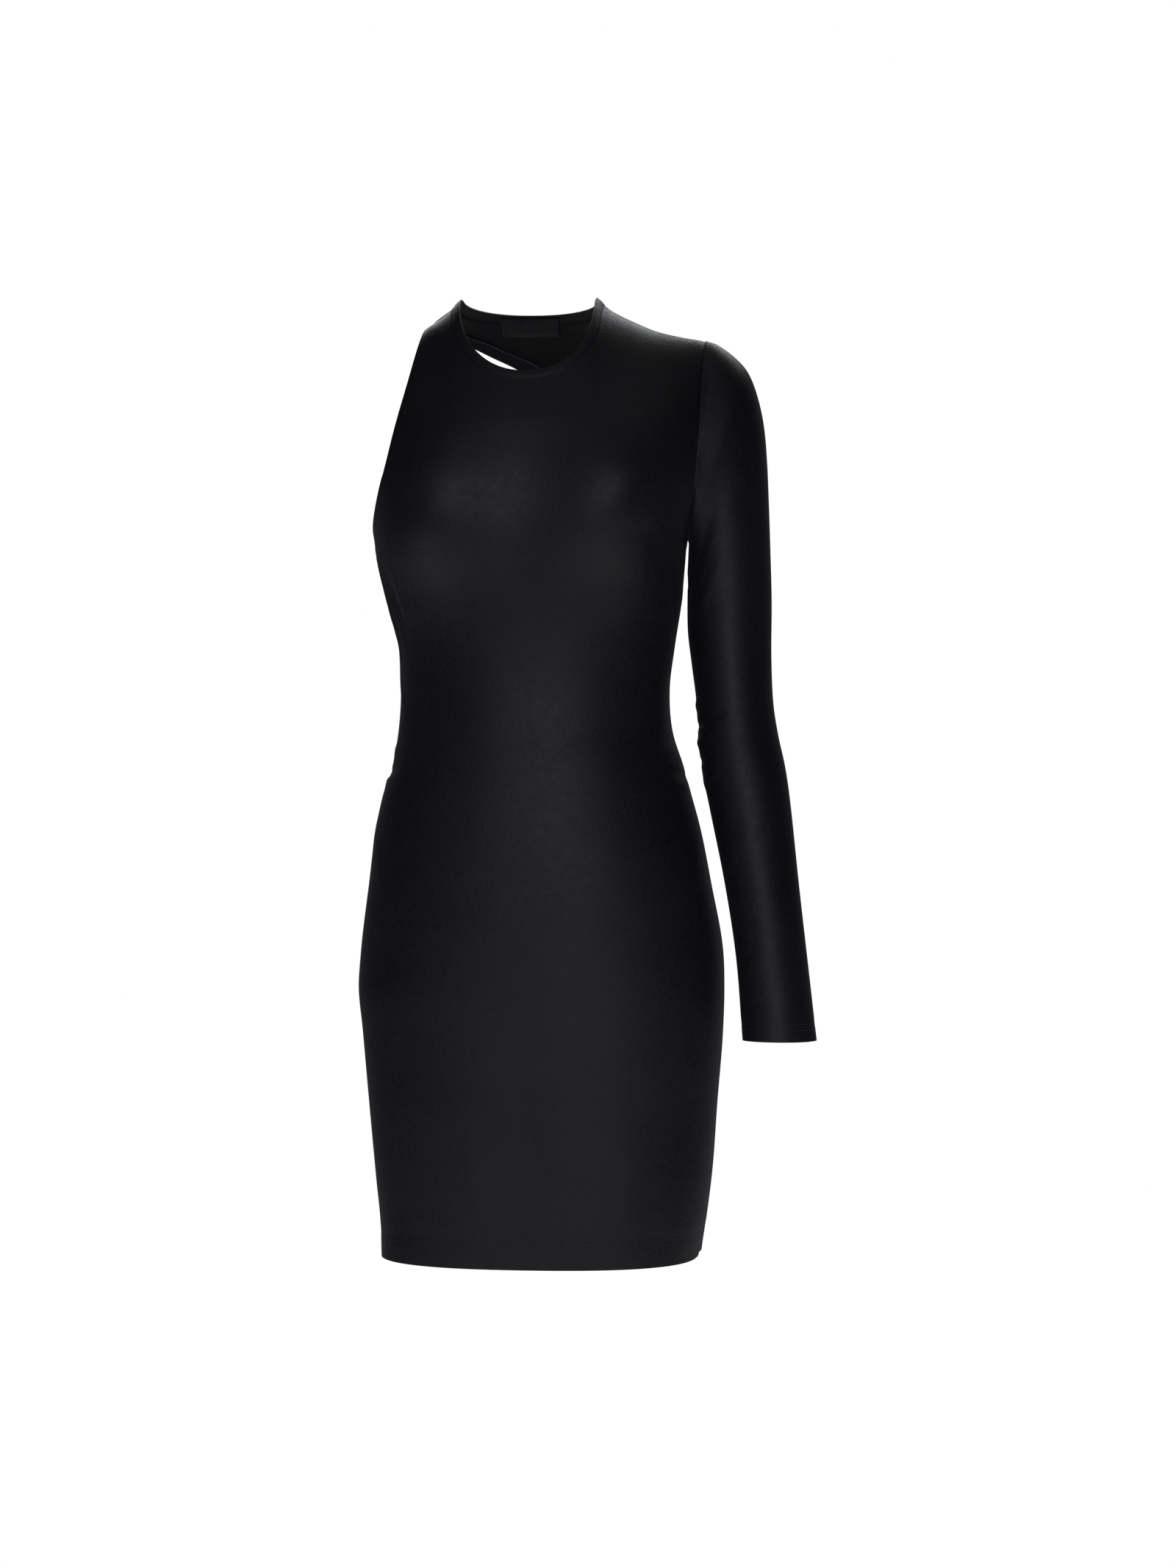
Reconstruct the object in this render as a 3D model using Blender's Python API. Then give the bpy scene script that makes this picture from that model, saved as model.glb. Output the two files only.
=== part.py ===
"""A one-sleeve mini dress in stretch jersey, filled out as if worn, with no wearer.

Units are metres. The origin is midway between the two shoulder neck points, which the wearer holds up.
+Z is up, the front faces -Y, and +X is the wearer's left, the side with the sleeve.
Each panel is a wall of cloth on one smooth form. A point on it is given by a face (front or back), a turn
round the body (-90 degrees is the right side seam, 0 the centre, +90 the left side seam) and a height.
"""

import math

import bmesh
import bpy
import numpy as np

# Cloth and seams
WALL = 0.0012
SEAM_GAP = 0.0003
NECK_GAP = 0.0010
SLEEVE_CLEARANCE = 0.0004
HEM_CLEARANCE = 0.0004
SLOPE_STEP = 0.0004
TINY = 1e-12
BAND_WALL = 0.0018
TURNED_HEM_WALL = 0.0010
LABEL_WALL = 0.0010

# Driving heights and widths
HEM = -0.8145
HEM_DIP = 0.0030
ARMPIT = -0.2085
BLOCK_TOP = -0.2450
STRAP_END = -0.0885
SHOULDER_END = 0.1515
SHOULDER_ROUND = 0.140
NECK_HALF_WIDTH = 0.0585
NECK_FRONT_DROP = 0.0700
NECK_BACK_DROP = 0.0085
NECK_SHIFT = 0.0060
NECK_SQUARE = 2.2
BAND_WIDTH = 0.0065
TURNED_HEM = 0.0140

# Bust fullness: its two places, how far it stands forward, and how fast it fades
BUST_SPREAD = 0.088
BUST_HEIGHT = -0.185
BUST_FORWARD = 0.020
BUST_FADE_ACROSS = 0.056
BUST_FADE_UP = 0.070
BUST_FADE_DOWN = 0.055
BUST_TO_SIDE = 1.4

# The label inside the back neck
LABEL_MIDDLE = -0.0055
LABEL_WIDTH = 0.050
LABEL_HEIGHT = 0.0145
LABEL_TOP = -0.0105
LABEL_INSET = 0.0026

# Cells of the meshes
LOWER_ROWS = 18
BLOCK_ROWS = 18
UPPER_ROWS = 9
BARE_CELLS = 8
STRAP_CELLS = 3
NECK_CELLS = 14
BACK_NECK_CELLS = 12
SHOULDER_CELLS = 6
ARMHOLE_CELLS = 10
SIDE_CELLS = 2
STRIP_CELLS = 5
TURNED_ROWS = 3
COLUMNS = BARE_CELLS + STRAP_CELLS + NECK_CELLS + SHOULDER_CELLS + ARMHOLE_CELLS
DENSE = 240

# Sections of the body form: height, reach of the right side and of the left side from the origin's plane,
# depth of the front and of the back, and squareness of the section (2 is an ellipse)
BODY = (
    (-0.8400, 0.1220, 0.1440, 0.1040, 0.1050, 3.4),
    (-0.8145, 0.1232, 0.1460, 0.1040, 0.1050, 3.4),
    (-0.7881, 0.1243, 0.1501, 0.1035, 0.1055, 3.3),
    (-0.7505, 0.1287, 0.1551, 0.1030, 0.1070, 3.1),
    (-0.6876, 0.1356, 0.1601, 0.1030, 0.1110, 2.8),
    (-0.6249, 0.1419, 0.1652, 0.1035, 0.1155, 2.6),
    (-0.5872, 0.1457, 0.1664, 0.1040, 0.1175, 2.5),
    (-0.5621, 0.1444, 0.1658, 0.1040, 0.1175, 2.4),
    (-0.4993, 0.1369, 0.1551, 0.1030, 0.1110, 2.4),
    (-0.4491, 0.1306, 0.1451, 0.1000, 0.1010, 2.3),
    (-0.4239, 0.1250, 0.1382, 0.0975, 0.0950, 2.3),
    (-0.3988, 0.1168, 0.1313, 0.0940, 0.0890, 2.3),
    (-0.3737, 0.1124, 0.1231, 0.0895, 0.0835, 2.3),
    (-0.3360, 0.1099, 0.1199, 0.0860, 0.0790, 2.3),
    (-0.2983, 0.1118, 0.1243, 0.0880, 0.0800, 2.3),
    (-0.2606, 0.1199, 0.1300, 0.0935, 0.0840, 2.4),
    (-0.2230, 0.1294, 0.1335, 0.0990, 0.0880, 2.5),
    (-0.2085, 0.1315, 0.1355, 0.1005, 0.0895, 2.5),
    (-0.1850, 0.1350, 0.1450, 0.1010, 0.0910, 2.5),
    (-0.1600, 0.1400, 0.1550, 0.1000, 0.0920, 2.5),
    (-0.1200, 0.1450, 0.1640, 0.0930, 0.0920, 2.4),
    (-0.0700, 0.1480, 0.1700, 0.0790, 0.0860, 2.3),
    (-0.0300, 0.1500, 0.1720, 0.0720, 0.0780, 2.3),
    (0.0250, 0.1500, 0.1720, 0.0650, 0.0680, 2.3),
)

# Ridge line of the shoulders: place across, height
SHOULDER = (
    (-0.1700, -0.0760),
    (-0.1200, -0.0440),
    (-0.0950, -0.0290),
    (-0.0860, -0.0225),
    (-0.0754, -0.0157),
    (-0.0678, -0.0094),
    (-0.0585, 0.0000),
    (-0.0450, 0.0095),
    (-0.0250, 0.0180),
    (0.0000, 0.0210),
    (0.0250, 0.0180),
    (0.0450, 0.0095),
    (0.0585, 0.0000),
    (0.0685, -0.0094),
    (0.0791, -0.0157),
    (0.0923, -0.0220),
    (0.1068, -0.0283),
    (0.1306, -0.0345),
    (0.1515, -0.0383),
    (0.1750, -0.0450),
)

# Front edge of the sleeveless armhole: height, place across
BARE_ARMHOLE = (
    (-0.2085, -0.1315),
    (-0.1991, -0.1293),
    (-0.1879, -0.1253),
    (-0.1648, -0.1170),
    (-0.1406, -0.1093),
    (-0.1158, -0.1028),
    (-0.0905, -0.0976),
    (-0.0647, -0.0942),
    (-0.0373, -0.0910),
    (-0.0243, -0.0885),
)

# Armhole that the sleeve is set into, front and back alike: height, place across
SLEEVE_ARMHOLE = (
    (-0.2085, 0.1355),
    (-0.1930, 0.1400),
    (-0.1700, 0.1450),
    (-0.1480, 0.1475),
    (-0.1237, 0.1488),
    (-0.0923, 0.1498),
    (-0.0650, 0.1505),
    (-0.0383, 0.1515),
)

# Edge of the cut-away back, from the right side seam up to the strap: place across, height
CUT_OUT = (
    (-0.1315, -0.2085),
    (-0.1050, -0.2190),
    (-0.0700, -0.2180),
    (-0.0300, -0.2050),
    (0.0050, -0.1800),
    (0.0280, -0.1480),
    (0.0340, -0.1150),
    (0.0220, -0.0850),
    (0.0000, -0.0635),
    (-0.0204, -0.0514),
    (-0.0400, -0.0425),
    (-0.0580, -0.0345),
    (-0.0750, -0.0290),
    (-0.0885, -0.0243),
)

# Share of the cut-out edge that each stretch of the back's outer edge faces
CUT_OUT_SHARES = (0.0, 0.52, 0.56, 0.68, 0.76, 1.0)

# Rings of the sleeve: outer point (across, height), inner point (across, height), middle depth, half depth
SLEEVE = (
    (0.1515, -0.0383, 0.1355, -0.2085, 0.0000, 0.0470),
    (0.1620, -0.0425, 0.1357, -0.2130, 0.0000, 0.0472),
    (0.1765, -0.0534, 0.1360, -0.2175, 0.0005, 0.0472),
    (0.1871, -0.0659, 0.1360, -0.2220, 0.0010, 0.0468),
    (0.1947, -0.0848, 0.1360, -0.2270, 0.0020, 0.0460),
    (0.2003, -0.1100, 0.1358, -0.2330, 0.0030, 0.0450),
    (0.2030, -0.1400, 0.1355, -0.2410, 0.0035, 0.0438),
    (0.2045, -0.1750, 0.1352, -0.2510, 0.0040, 0.0424),
    (0.2058, -0.2150, 0.1350, -0.2660, 0.0040, 0.0410),
    (0.2070, -0.2600, 0.1356, -0.2880, 0.0035, 0.0395),
    (0.2068, -0.3050, 0.1390, -0.3150, 0.0020, 0.0380),
    (0.2085, -0.3450, 0.1430, -0.3450, -0.0010, 0.0366),
    (0.2129, -0.3737, 0.1446, -0.3720, -0.0040, 0.0360),
    (0.2192, -0.4020, 0.1475, -0.4000, -0.0075, 0.0356),
    (0.2242, -0.4365, 0.1551, -0.4365, -0.0115, 0.0348),
    (0.2311, -0.4993, 0.1683, -0.4993, -0.0190, 0.0326),
    (0.2386, -0.5621, 0.1784, -0.5621, -0.0265, 0.0308),
    (0.2462, -0.6249, 0.1840, -0.6249, -0.0340, 0.0302),
    (0.2468, -0.6305, 0.1843, -0.6305, -0.0347, 0.0301),
)
CAP_RINGS = 7
SLEEVE_RINGS = 22

FRONT = -1
BACK = 1


def clear_scene():
    for obj in list(bpy.data.objects):
        bpy.data.objects.remove(obj, do_unlink=True)


def smooth(keys, values, at):
    """A cubic through the values at the keys, with slopes taken from the neighbours."""
    keys = np.asarray(keys, float)
    values = np.asarray(values, float)
    at = np.asarray(at, float)
    slopes = np.gradient(values, keys)
    place = np.clip(np.searchsorted(keys, at) - 1, 0, len(keys) - 2)
    span = keys[place + 1] - keys[place]
    part = np.clip((at - keys[place]) / span, 0.0, 1.0)
    start = (1 + 2 * part) * (1 - part) ** 2 * values[place]
    start += part * (1 - part) ** 2 * span * slopes[place]
    end = part**2 * (3 - 2 * part) * values[place + 1]
    end += part**2 * (part - 1) * span * slopes[place + 1]
    return start + end


def column(table, index):
    return [row[index] for row in table]


def body(height, index):
    return smooth(column(BODY, 0), column(BODY, index), height)


def middle_and_half(height):
    right = body(height, 1)
    left = body(height, 2)
    return (left - right) / 2, (left + right) / 2


def shoulder(across):
    return smooth(column(SHOULDER, 0), column(SHOULDER, 1), across)


def turn_of(across, height):
    middle, half = middle_and_half(height)
    return np.arcsin(np.clip((across - middle) / half, -1.0, 1.0))


def bust(across, height):
    """How far the fullness of the bust stands forward of the plain form."""
    middle, _ = middle_and_half(height)
    off = (np.abs(across - middle) - BUST_SPREAD) / BUST_FADE_ACROSS
    fade = np.where(height > BUST_HEIGHT, BUST_FADE_UP, BUST_FADE_DOWN)
    return BUST_FORWARD * np.exp(-(off**2) - ((height - BUST_HEIGHT) / fade) ** 2)


def depth(across, height, face):
    """How far the form stands out from the plane of the seams, to the front or to the back."""
    middle, half = middle_and_half(height)
    part = np.clip(np.abs(across - middle) / half, 0.0, 1.0)
    square = body(height, 5)
    arch = np.maximum(1 - part**square, 0.0) ** (1 / square)
    below = np.clip(shoulder(across) - height, 0.0, SHOULDER_ROUND) / SHOULDER_ROUND
    rounded = np.sqrt(np.maximum(1 - (1 - below) ** 2, 0.0))
    deep = body(height, 3 if face == FRONT else 4) * arch
    if face == FRONT:
        deep = deep + bust(across, height) * np.minimum(1.0, BUST_TO_SIDE * arch)
    return deep * rounded


def surface(turn, height, face, gap=SEAM_GAP / 2):
    """Points of the form's outer side. A panel keeps half a seam gap to the plane of the side seams."""
    turn = np.asarray(turn, float)
    height = np.asarray(height, float) + 0 * turn
    middle, half = middle_and_half(height)
    across = middle + half * np.sin(turn)
    return np.stack([across, face * (depth(across, height, face) + gap), height], axis=-1)


def outward(points, face):
    """Outward normals at points of the form, from the slope of its depth squared, which is smooth at the
    seams too."""
    across = points[..., 0]
    height = points[..., 2]
    slope_across = depth(across + SLOPE_STEP, height, face) ** 2
    slope_across = slope_across - depth(across - SLOPE_STEP, height, face) ** 2
    slope_up = depth(across, height + SLOPE_STEP, face) ** 2
    slope_up = slope_up - depth(across, height - SLOPE_STEP, face) ** 2
    deep = depth(across, height, face)
    normals = np.stack([-slope_across, 4 * SLOPE_STEP * face * deep, -slope_up], axis=-1)
    length = np.linalg.norm(normals, axis=-1, keepdims=True)
    return normals / np.maximum(length, TINY)


def eased(count=DENSE):
    """Fractions from 0 to 1, closest at both ends."""
    return (1 - np.cos(np.linspace(0.0, math.pi, count + 1))) / 2


def resample_domain(turns, heights, face, cells):
    """Turns and heights at equal steps along the line that they draw on the form."""
    points = surface(turns, heights, face)
    steps = np.linalg.norm(np.diff(points, axis=0), axis=1)
    run = np.concatenate([[0.0], np.cumsum(steps)])
    wanted = np.linspace(0.0, run[-1], cells + 1)
    return np.interp(wanted, run, turns), np.interp(wanted, run, heights)


def level_row(height, face):
    """The turns of one level section, from the right side seam to the left."""
    turns = (2 * eased() - 1) * math.pi / 2
    return resample_domain(turns, np.full(turns.shape, height), face, COLUMNS)[0]


def neck_line(face, widening, cells):
    """Turns and heights of a line round the neck from the right shoulder to the left, widening out from
    the edge of the neck."""
    sweep = math.pi * (1 - eased())
    bend = 2 / NECK_SQUARE
    width = NECK_HALF_WIDTH + widening
    drop = (NECK_FRONT_DROP if face == FRONT else NECK_BACK_DROP) + widening
    shift = NECK_SHIFT if face == FRONT else 0.0
    cosine = np.cos(sweep)
    sine = np.clip(np.sin(sweep), 0.0, 1.0)
    across = width * np.sign(cosine) * np.abs(cosine) ** bend + shift * sine
    top = shoulder(across[0]) * (1 - sine**bend)
    heights = top - drop * sine**bend
    return resample_domain(turn_of(across, heights), heights, face, cells)


def shoulder_line(start, end, cells):
    across = np.linspace(start, end, cells + 1)
    heights = shoulder(across)
    return turn_of(across, heights), heights


def armhole_line(table, face, cells):
    """Turns and heights up an armhole edge, from the armpit to the shoulder."""
    heights = table[0][0] + (table[-1][0] - table[0][0]) * eased()
    across = smooth(column(table, 0), column(table, 1), heights)
    heights[-1] = shoulder(across[-1])
    turns = turn_of(across, heights)
    turns[0] = math.copysign(math.pi / 2, turns[0])
    return resample_domain(turns, heights, face, cells)


def joined(*lines):
    """Lines of turns and heights, end to end."""
    turns = [lines[0][0]] + [line[0][1:] for line in lines[1:]]
    heights = [lines[0][1]] + [line[1][1:] for line in lines[1:]]
    return np.concatenate(turns), np.concatenate(heights)


def tube_normals(grid):
    """Normals at the points of a tube's rings."""
    along = np.roll(grid, -1, axis=1) - np.roll(grid, 1, axis=1)
    up = np.gradient(grid, axis=0)
    normals = np.cross(along, up)
    length = np.linalg.norm(normals, axis=-1, keepdims=True)
    return normals / np.maximum(length, TINY)


def wall_object(name, outer, inner, quads, rim, material, collection):
    """One closed wall from its outer points, its inner points, the cells and the rim's edge loops."""
    mesh = bpy.data.meshes.new(name)
    work = bmesh.new()
    outer_verts = [work.verts.new(point) for point in outer]
    inner_verts = [work.verts.new(point) for point in inner]
    for quad in quads:
        work.faces.new([outer_verts[i] for i in quad])
        work.faces.new([inner_verts[i] for i in reversed(quad)])
    for start, end in rim:
        work.faces.new([outer_verts[end], outer_verts[start], inner_verts[start], inner_verts[end]])
    bmesh.ops.recalc_face_normals(work, faces=work.faces)
    if work.calc_volume(signed=True) < 0:
        bmesh.ops.reverse_faces(work, faces=work.faces)
    work.to_mesh(mesh)
    work.free()
    mesh.shade_smooth()
    mesh.set_sharp_from_angle(angle=math.radians(50))
    mesh.materials.append(material)
    obj = bpy.data.objects.new(name, mesh)
    collection.objects.link(obj)
    return obj


def boundary_of(quads):
    """The edges that only one cell uses."""
    used = {}
    for quad in quads:
        for start, end in zip(quad, quad[1:] + quad[:1]):
            key = (min(start, end), max(start, end))
            used.setdefault(key, []).append((start, end))
    return [edges[0] for edges in used.values() if len(edges) == 1]


def grid_cells(rows, columns, wrap=False, first=0):
    cells = []
    for row in range(rows - 1):
        for col in range(columns if wrap else columns - 1):
            here = first + row * columns + col
            beside = first + row * columns + (col + 1) % columns
            cells.append([here, beside, beside + columns, here + columns])
    return cells


def grid_wall(name, grid, normals, thickness, material, collection, wrap=False):
    rows, columns, _ = grid.shape
    quads = grid_cells(rows, columns, wrap)
    outer = grid.reshape(-1, 3)
    inner = outer - thickness * normals.reshape(-1, 3)
    return wall_object(name, outer, inner, quads, boundary_of(quads), material, collection)


def hem_points(turns, face):
    heights = HEM - HEM_DIP * np.cos(turns) ** 2 * (face == FRONT)
    return surface(turns, heights, face)


def turned_round(line):
    return line[0][::-1], line[1][::-1]


def front_grid():
    """Rows of the front panel, from the hem up to the armholes, the strap, the neck and the shoulder."""
    rows = [hem_points(level_row(HEM, FRONT), FRONT)]
    for height in np.linspace(HEM, BLOCK_TOP, LOWER_ROWS + 1)[1:]:
        rows.append(surface(level_row(height, FRONT), height, FRONT))
    low_turns = level_row(BLOCK_TOP, FRONT)
    neck_edge = BAND_WIDTH + NECK_GAP
    neck_side = NECK_HALF_WIDTH + neck_edge
    top_turns, top_heights = joined(
        armhole_line(BARE_ARMHOLE, FRONT, BARE_CELLS),
        shoulder_line(STRAP_END, -neck_side, STRAP_CELLS),
        neck_line(FRONT, neck_edge, NECK_CELLS),
        shoulder_line(neck_side, SHOULDER_END, SHOULDER_CELLS),
        turned_round(armhole_line(SLEEVE_ARMHOLE, FRONT, ARMHOLE_CELLS)),
    )
    rise = eased()
    upper = np.zeros((UPPER_ROWS + 1, COLUMNS + 1, 3))
    for col in range(COLUMNS + 1):
        turns = low_turns[col] * (1 - rise) + top_turns[col] * rise
        heights = BLOCK_TOP * (1 - rise) + top_heights[col] * rise
        upper[:, col] = surface(*resample_domain(turns, heights, FRONT, UPPER_ROWS), FRONT)
    return np.concatenate([np.stack(rows), upper[1:]])


def cut_out_line(cells_of_stretches):
    """Turns and heights along the edge of the cut-away back, its points shared out by stretch."""
    keys = np.arange(len(CUT_OUT))
    dense = (len(CUT_OUT) - 1) * eased(4 * DENSE)
    across = smooth(keys, column(CUT_OUT, 0), dense)
    heights = smooth(keys, column(CUT_OUT, 1), dense)
    heights[-1] = shoulder(across[-1])
    turns = turn_of(across, heights)
    turns[0] = -math.pi / 2
    points = surface(turns, heights, BACK)
    run = np.concatenate([[0.0], np.cumsum(np.linalg.norm(np.diff(points, axis=0), axis=1))])
    cell_keys = np.concatenate([[0], np.cumsum(cells_of_stretches)])
    shares = np.interp(np.arange(cell_keys[-1] + 1), cell_keys, CUT_OUT_SHARES)
    wanted = shares * run[-1]
    return np.interp(wanted, run, turns), np.interp(wanted, run, heights)


def back_strip():
    """The upper back as a strip bent round the cut-out. Row 0 is the cut-out edge, and row 2 is where its
    turned hem ends."""
    side_heights = np.linspace(BLOCK_TOP, ARMPIT, SIDE_CELLS + 1)
    side_turns = np.full(side_heights.shape, math.pi / 2)
    neck_edge = BAND_WIDTH + NECK_GAP
    neck_side = NECK_HALF_WIDTH + neck_edge
    outer_turns, outer_heights = joined(
        (level_row(BLOCK_TOP, BACK), np.full(COLUMNS + 1, BLOCK_TOP)),
        (side_turns, side_heights),
        armhole_line(SLEEVE_ARMHOLE, BACK, ARMHOLE_CELLS),
        shoulder_line(SHOULDER_END, neck_side, SHOULDER_CELLS),
        turned_round(neck_line(BACK, neck_edge, BACK_NECK_CELLS)),
    )
    cells = (COLUMNS, SIDE_CELLS, ARMHOLE_CELLS, SHOULDER_CELLS, BACK_NECK_CELLS)
    inner_turns, inner_heights = cut_out_line(cells)
    count = len(outer_turns)
    strip = np.zeros((STRIP_CELLS + 3, count, 3))
    for col in range(count):
        part = eased()
        turns = inner_turns[col] * (1 - part) + outer_turns[col] * part
        heights = inner_heights[col] * (1 - part) + outer_heights[col] * part
        if col == count - 1:
            turns, heights = shoulder_line(STRAP_END, -neck_side, DENSE)
        line = surface(turns, heights, BACK)
        run = np.concatenate([[0.0], np.cumsum(np.linalg.norm(np.diff(line, axis=0), axis=1))])
        rest = np.linspace(TURNED_HEM, run[-1], STRIP_CELLS + 1)
        wanted = np.concatenate([[0.0, TURNED_HEM / 2], rest])
        turns = np.interp(wanted, run, turns)
        heights = np.interp(wanted, run, heights)
        strip[:, col] = surface(turns, heights, BACK)
    return strip


def back_panel(material, collection):
    rows = [hem_points(level_row(HEM, BACK), BACK)]
    for height in np.linspace(HEM, BLOCK_TOP, BLOCK_ROWS + 1)[1:]:
        rows.append(surface(level_row(height, BACK), height, BACK))
    block = np.stack(rows)
    strip = back_strip()
    strip_rows = strip.shape[0] - 1
    strip_columns = strip.shape[1]
    outer = np.concatenate([block.reshape(-1, 3), strip[:-1].reshape(-1, 3), strip[-1, COLUMNS + 1 :]])
    quads = grid_cells(BLOCK_ROWS + 1, COLUMNS + 1)
    strip_first = (BLOCK_ROWS + 1) * (COLUMNS + 1)
    quads += grid_cells(strip_rows, strip_columns, first=strip_first)
    block_top = BLOCK_ROWS * (COLUMNS + 1)
    tail_first = strip_first + strip_rows * strip_columns
    last_row = [block_top + col for col in range(COLUMNS + 1)]
    last_row += [tail_first + col for col in range(strip_columns - COLUMNS - 1)]
    start = strip_first + (strip_rows - 1) * strip_columns
    for col in range(strip_columns - 1):
        quads.append([start + col, start + col + 1, last_row[col + 1], last_row[col]])
    inner = outer - WALL * outward(outer, BACK)
    return wall_object("back_panel", outer, inner, quads, boundary_of(quads), material, collection)


def turned_hem(material, collection):
    """The strip folded to the inside along the cut-out, made from the panel's own points, moved in."""
    strip = back_strip()[:TURNED_ROWS, 1:-1]
    normals = outward(strip, BACK)
    outer = strip - (WALL + HEM_CLEARANCE) * normals
    return grid_wall("cutout_hem", outer, normals, TURNED_HEM_WALL, material, collection)


def sleeve_rings():
    """Rings of the sleeve, from the armhole seam to the cuff."""
    front = surface(*armhole_line(SLEEVE_ARMHOLE, FRONT, ARMHOLE_CELLS), FRONT)[::-1]
    back = surface(*armhole_line(SLEEVE_ARMHOLE, BACK, ARMHOLE_CELLS), BACK)
    seam = np.concatenate([front[:-1], back[:-1]])
    seam[:, 0] += SEAM_GAP
    count = len(seam)
    top = seam[0, 2]
    bottom = seam[count // 2, 2]
    cosines = np.clip((seam[:, 2] - (top + bottom) / 2) / ((top - bottom) / 2), -1.0, 1.0)
    seam_angles = np.arccos(cosines)
    seam_angles = np.where(np.arange(count) > count // 2, 2 * math.pi - seam_angles, seam_angles)
    even_angles = np.arange(count) * 2 * math.pi / count
    keys = np.arange(len(SLEEVE))
    rings = []
    for place in np.linspace(0, len(SLEEVE) - 1, SLEEVE_RINGS + 1):
        row = [float(smooth(keys, column(SLEEVE, i), place)) for i in range(len(SLEEVE[0]))]
        out_x, out_z, in_x, in_z, deep, half = row
        share = min(1.0, place / CAP_RINGS)
        angles = seam_angles * (1 - share) + even_angles * share
        middle = np.array([(out_x + in_x) / 2, deep, (out_z + in_z) / 2])
        outer_way = np.array([(out_x - in_x) / 2, 0.0, (out_z - in_z) / 2])
        forward = np.array([0.0, -half, 0.0])
        ring = middle + np.cos(angles)[:, None] * outer_way + np.sin(angles)[:, None] * forward
        if place == 0:
            off_seam = seam - ring
        ring = ring + off_seam * (1 - share) ** 2
        seam_across = smooth(column(SLEEVE_ARMHOLE, 0), column(SLEEVE_ARMHOLE, 1), ring[:, 2])
        clear = seam_across + SEAM_GAP + SLEEVE_CLEARANCE * place
        ring[:, 0] = np.maximum(ring[:, 0], clear) if place < CAP_RINGS else ring[:, 0]
        rings.append(ring)
    return np.stack(rings)


def sleeve(material, collection):
    rings = sleeve_rings()
    normals = tube_normals(rings)
    return grid_wall("sleeve", rings, normals, WALL, material, collection, wrap=True)


def neckband(material, collection):
    """The narrow band round the neck, from its seam up to its folded edge."""
    rows = []
    normals = []
    for widening in (BAND_WIDTH, BAND_WIDTH / 2, 0.0):
        front = surface(*neck_line(FRONT, widening, NECK_CELLS), FRONT, gap=0.0)[:-1]
        back = surface(*neck_line(BACK, widening, BACK_NECK_CELLS), BACK, gap=0.0)[:0:-1]
        rows.append(np.concatenate([front, back]))
        normals.append(np.concatenate([outward(front, FRONT), outward(back, BACK)]))
    grid = np.stack(rows)
    normals = np.stack(normals)
    return grid_wall("neckband", grid, normals, BAND_WALL, material, collection, wrap=True)


def neck_label(material, collection):
    """The woven label inside the back neck, flat against the cloth and left bare."""
    heights = LABEL_TOP - LABEL_HEIGHT * np.linspace(1.0, 0.0, 3)
    across = LABEL_MIDDLE + LABEL_WIDTH * np.linspace(-0.5, 0.5, 9)
    grid = np.stack([surface(turn_of(across, height), height, BACK) for height in heights])
    normals = outward(grid, BACK)
    outer = grid - LABEL_INSET * normals
    return grid_wall("neck_label", outer, normals, LABEL_WALL, material, collection)


def cloth(name, colour, roughness, sheen):
    material = bpy.data.materials.new(name)
    material.use_nodes = True
    shader = material.node_tree.nodes["Principled BSDF"]
    shader.inputs["Base Color"].default_value = (*colour, 1.0)
    shader.inputs["Roughness"].default_value = roughness
    shader.inputs["Metallic"].default_value = 0.0
    shader.inputs["Sheen Weight"].default_value = sheen
    return material


def main():
    clear_scene()
    collection = bpy.data.collections.new("one_sleeve_mini_dress")
    bpy.context.scene.collection.children.link(collection)
    front = front_grid()
    front_normals = outward(front, FRONT)
    jersey = {"colour": (0.012, 0.012, 0.015), "roughness": 0.45, "sheen": 0.1}
    grid_wall("front_panel", front, front_normals, WALL, cloth("front_jersey", **jersey), collection)
    back_panel(cloth("back_jersey", **jersey), collection)
    sleeve(cloth("sleeve_jersey", **jersey), collection)
    neckband(cloth("band_jersey", **jersey), collection)
    turned_hem(cloth("hem_jersey", **jersey), collection)
    neck_label(cloth("label_weave", (0.010, 0.010, 0.012), 0.6, 0.0), collection)


main()
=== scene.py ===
"""A one-sleeve mini dress in black stretch jersey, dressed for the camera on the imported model's frame.

Units are metres, in the frame of the model. +Z is up, the front faces -Y, and +X is the wearer's left.
Each panel repeats the form of its solid on a finer grid and adds folds, hems, stitches and cloth.
"""

import math

import bmesh
import bpy
import mathutils
import numpy as np
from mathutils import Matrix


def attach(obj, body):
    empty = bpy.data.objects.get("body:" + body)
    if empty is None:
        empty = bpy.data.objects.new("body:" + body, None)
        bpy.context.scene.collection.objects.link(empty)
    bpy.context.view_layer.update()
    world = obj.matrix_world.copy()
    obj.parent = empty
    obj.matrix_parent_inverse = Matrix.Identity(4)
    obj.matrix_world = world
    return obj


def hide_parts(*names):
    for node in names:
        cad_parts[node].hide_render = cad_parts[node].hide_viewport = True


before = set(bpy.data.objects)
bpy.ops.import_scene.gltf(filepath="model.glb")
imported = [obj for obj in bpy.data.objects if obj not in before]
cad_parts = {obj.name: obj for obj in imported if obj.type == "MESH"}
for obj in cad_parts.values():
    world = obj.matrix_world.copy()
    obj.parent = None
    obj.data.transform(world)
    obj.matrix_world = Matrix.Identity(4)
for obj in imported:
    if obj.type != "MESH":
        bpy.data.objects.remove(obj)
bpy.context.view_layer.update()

# Cloth and seams
WALL = 0.0011
SEAM_GAP = 0.00012
NECK_GAP = 0.0004
SLEEVE_CLEARANCE = 0.0004
HEM_CLEARANCE = 0.0003
SLOPE_STEP = 0.0004
TINY = 1e-12
BAND_WALL = 0.0018
BAND_CROWN = 0.0005
BAND_CROWN_SUNK = 0.6
BAND_TUCK = 0.0016
BAND_TUCK_DEPTH = 0.0013
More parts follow.
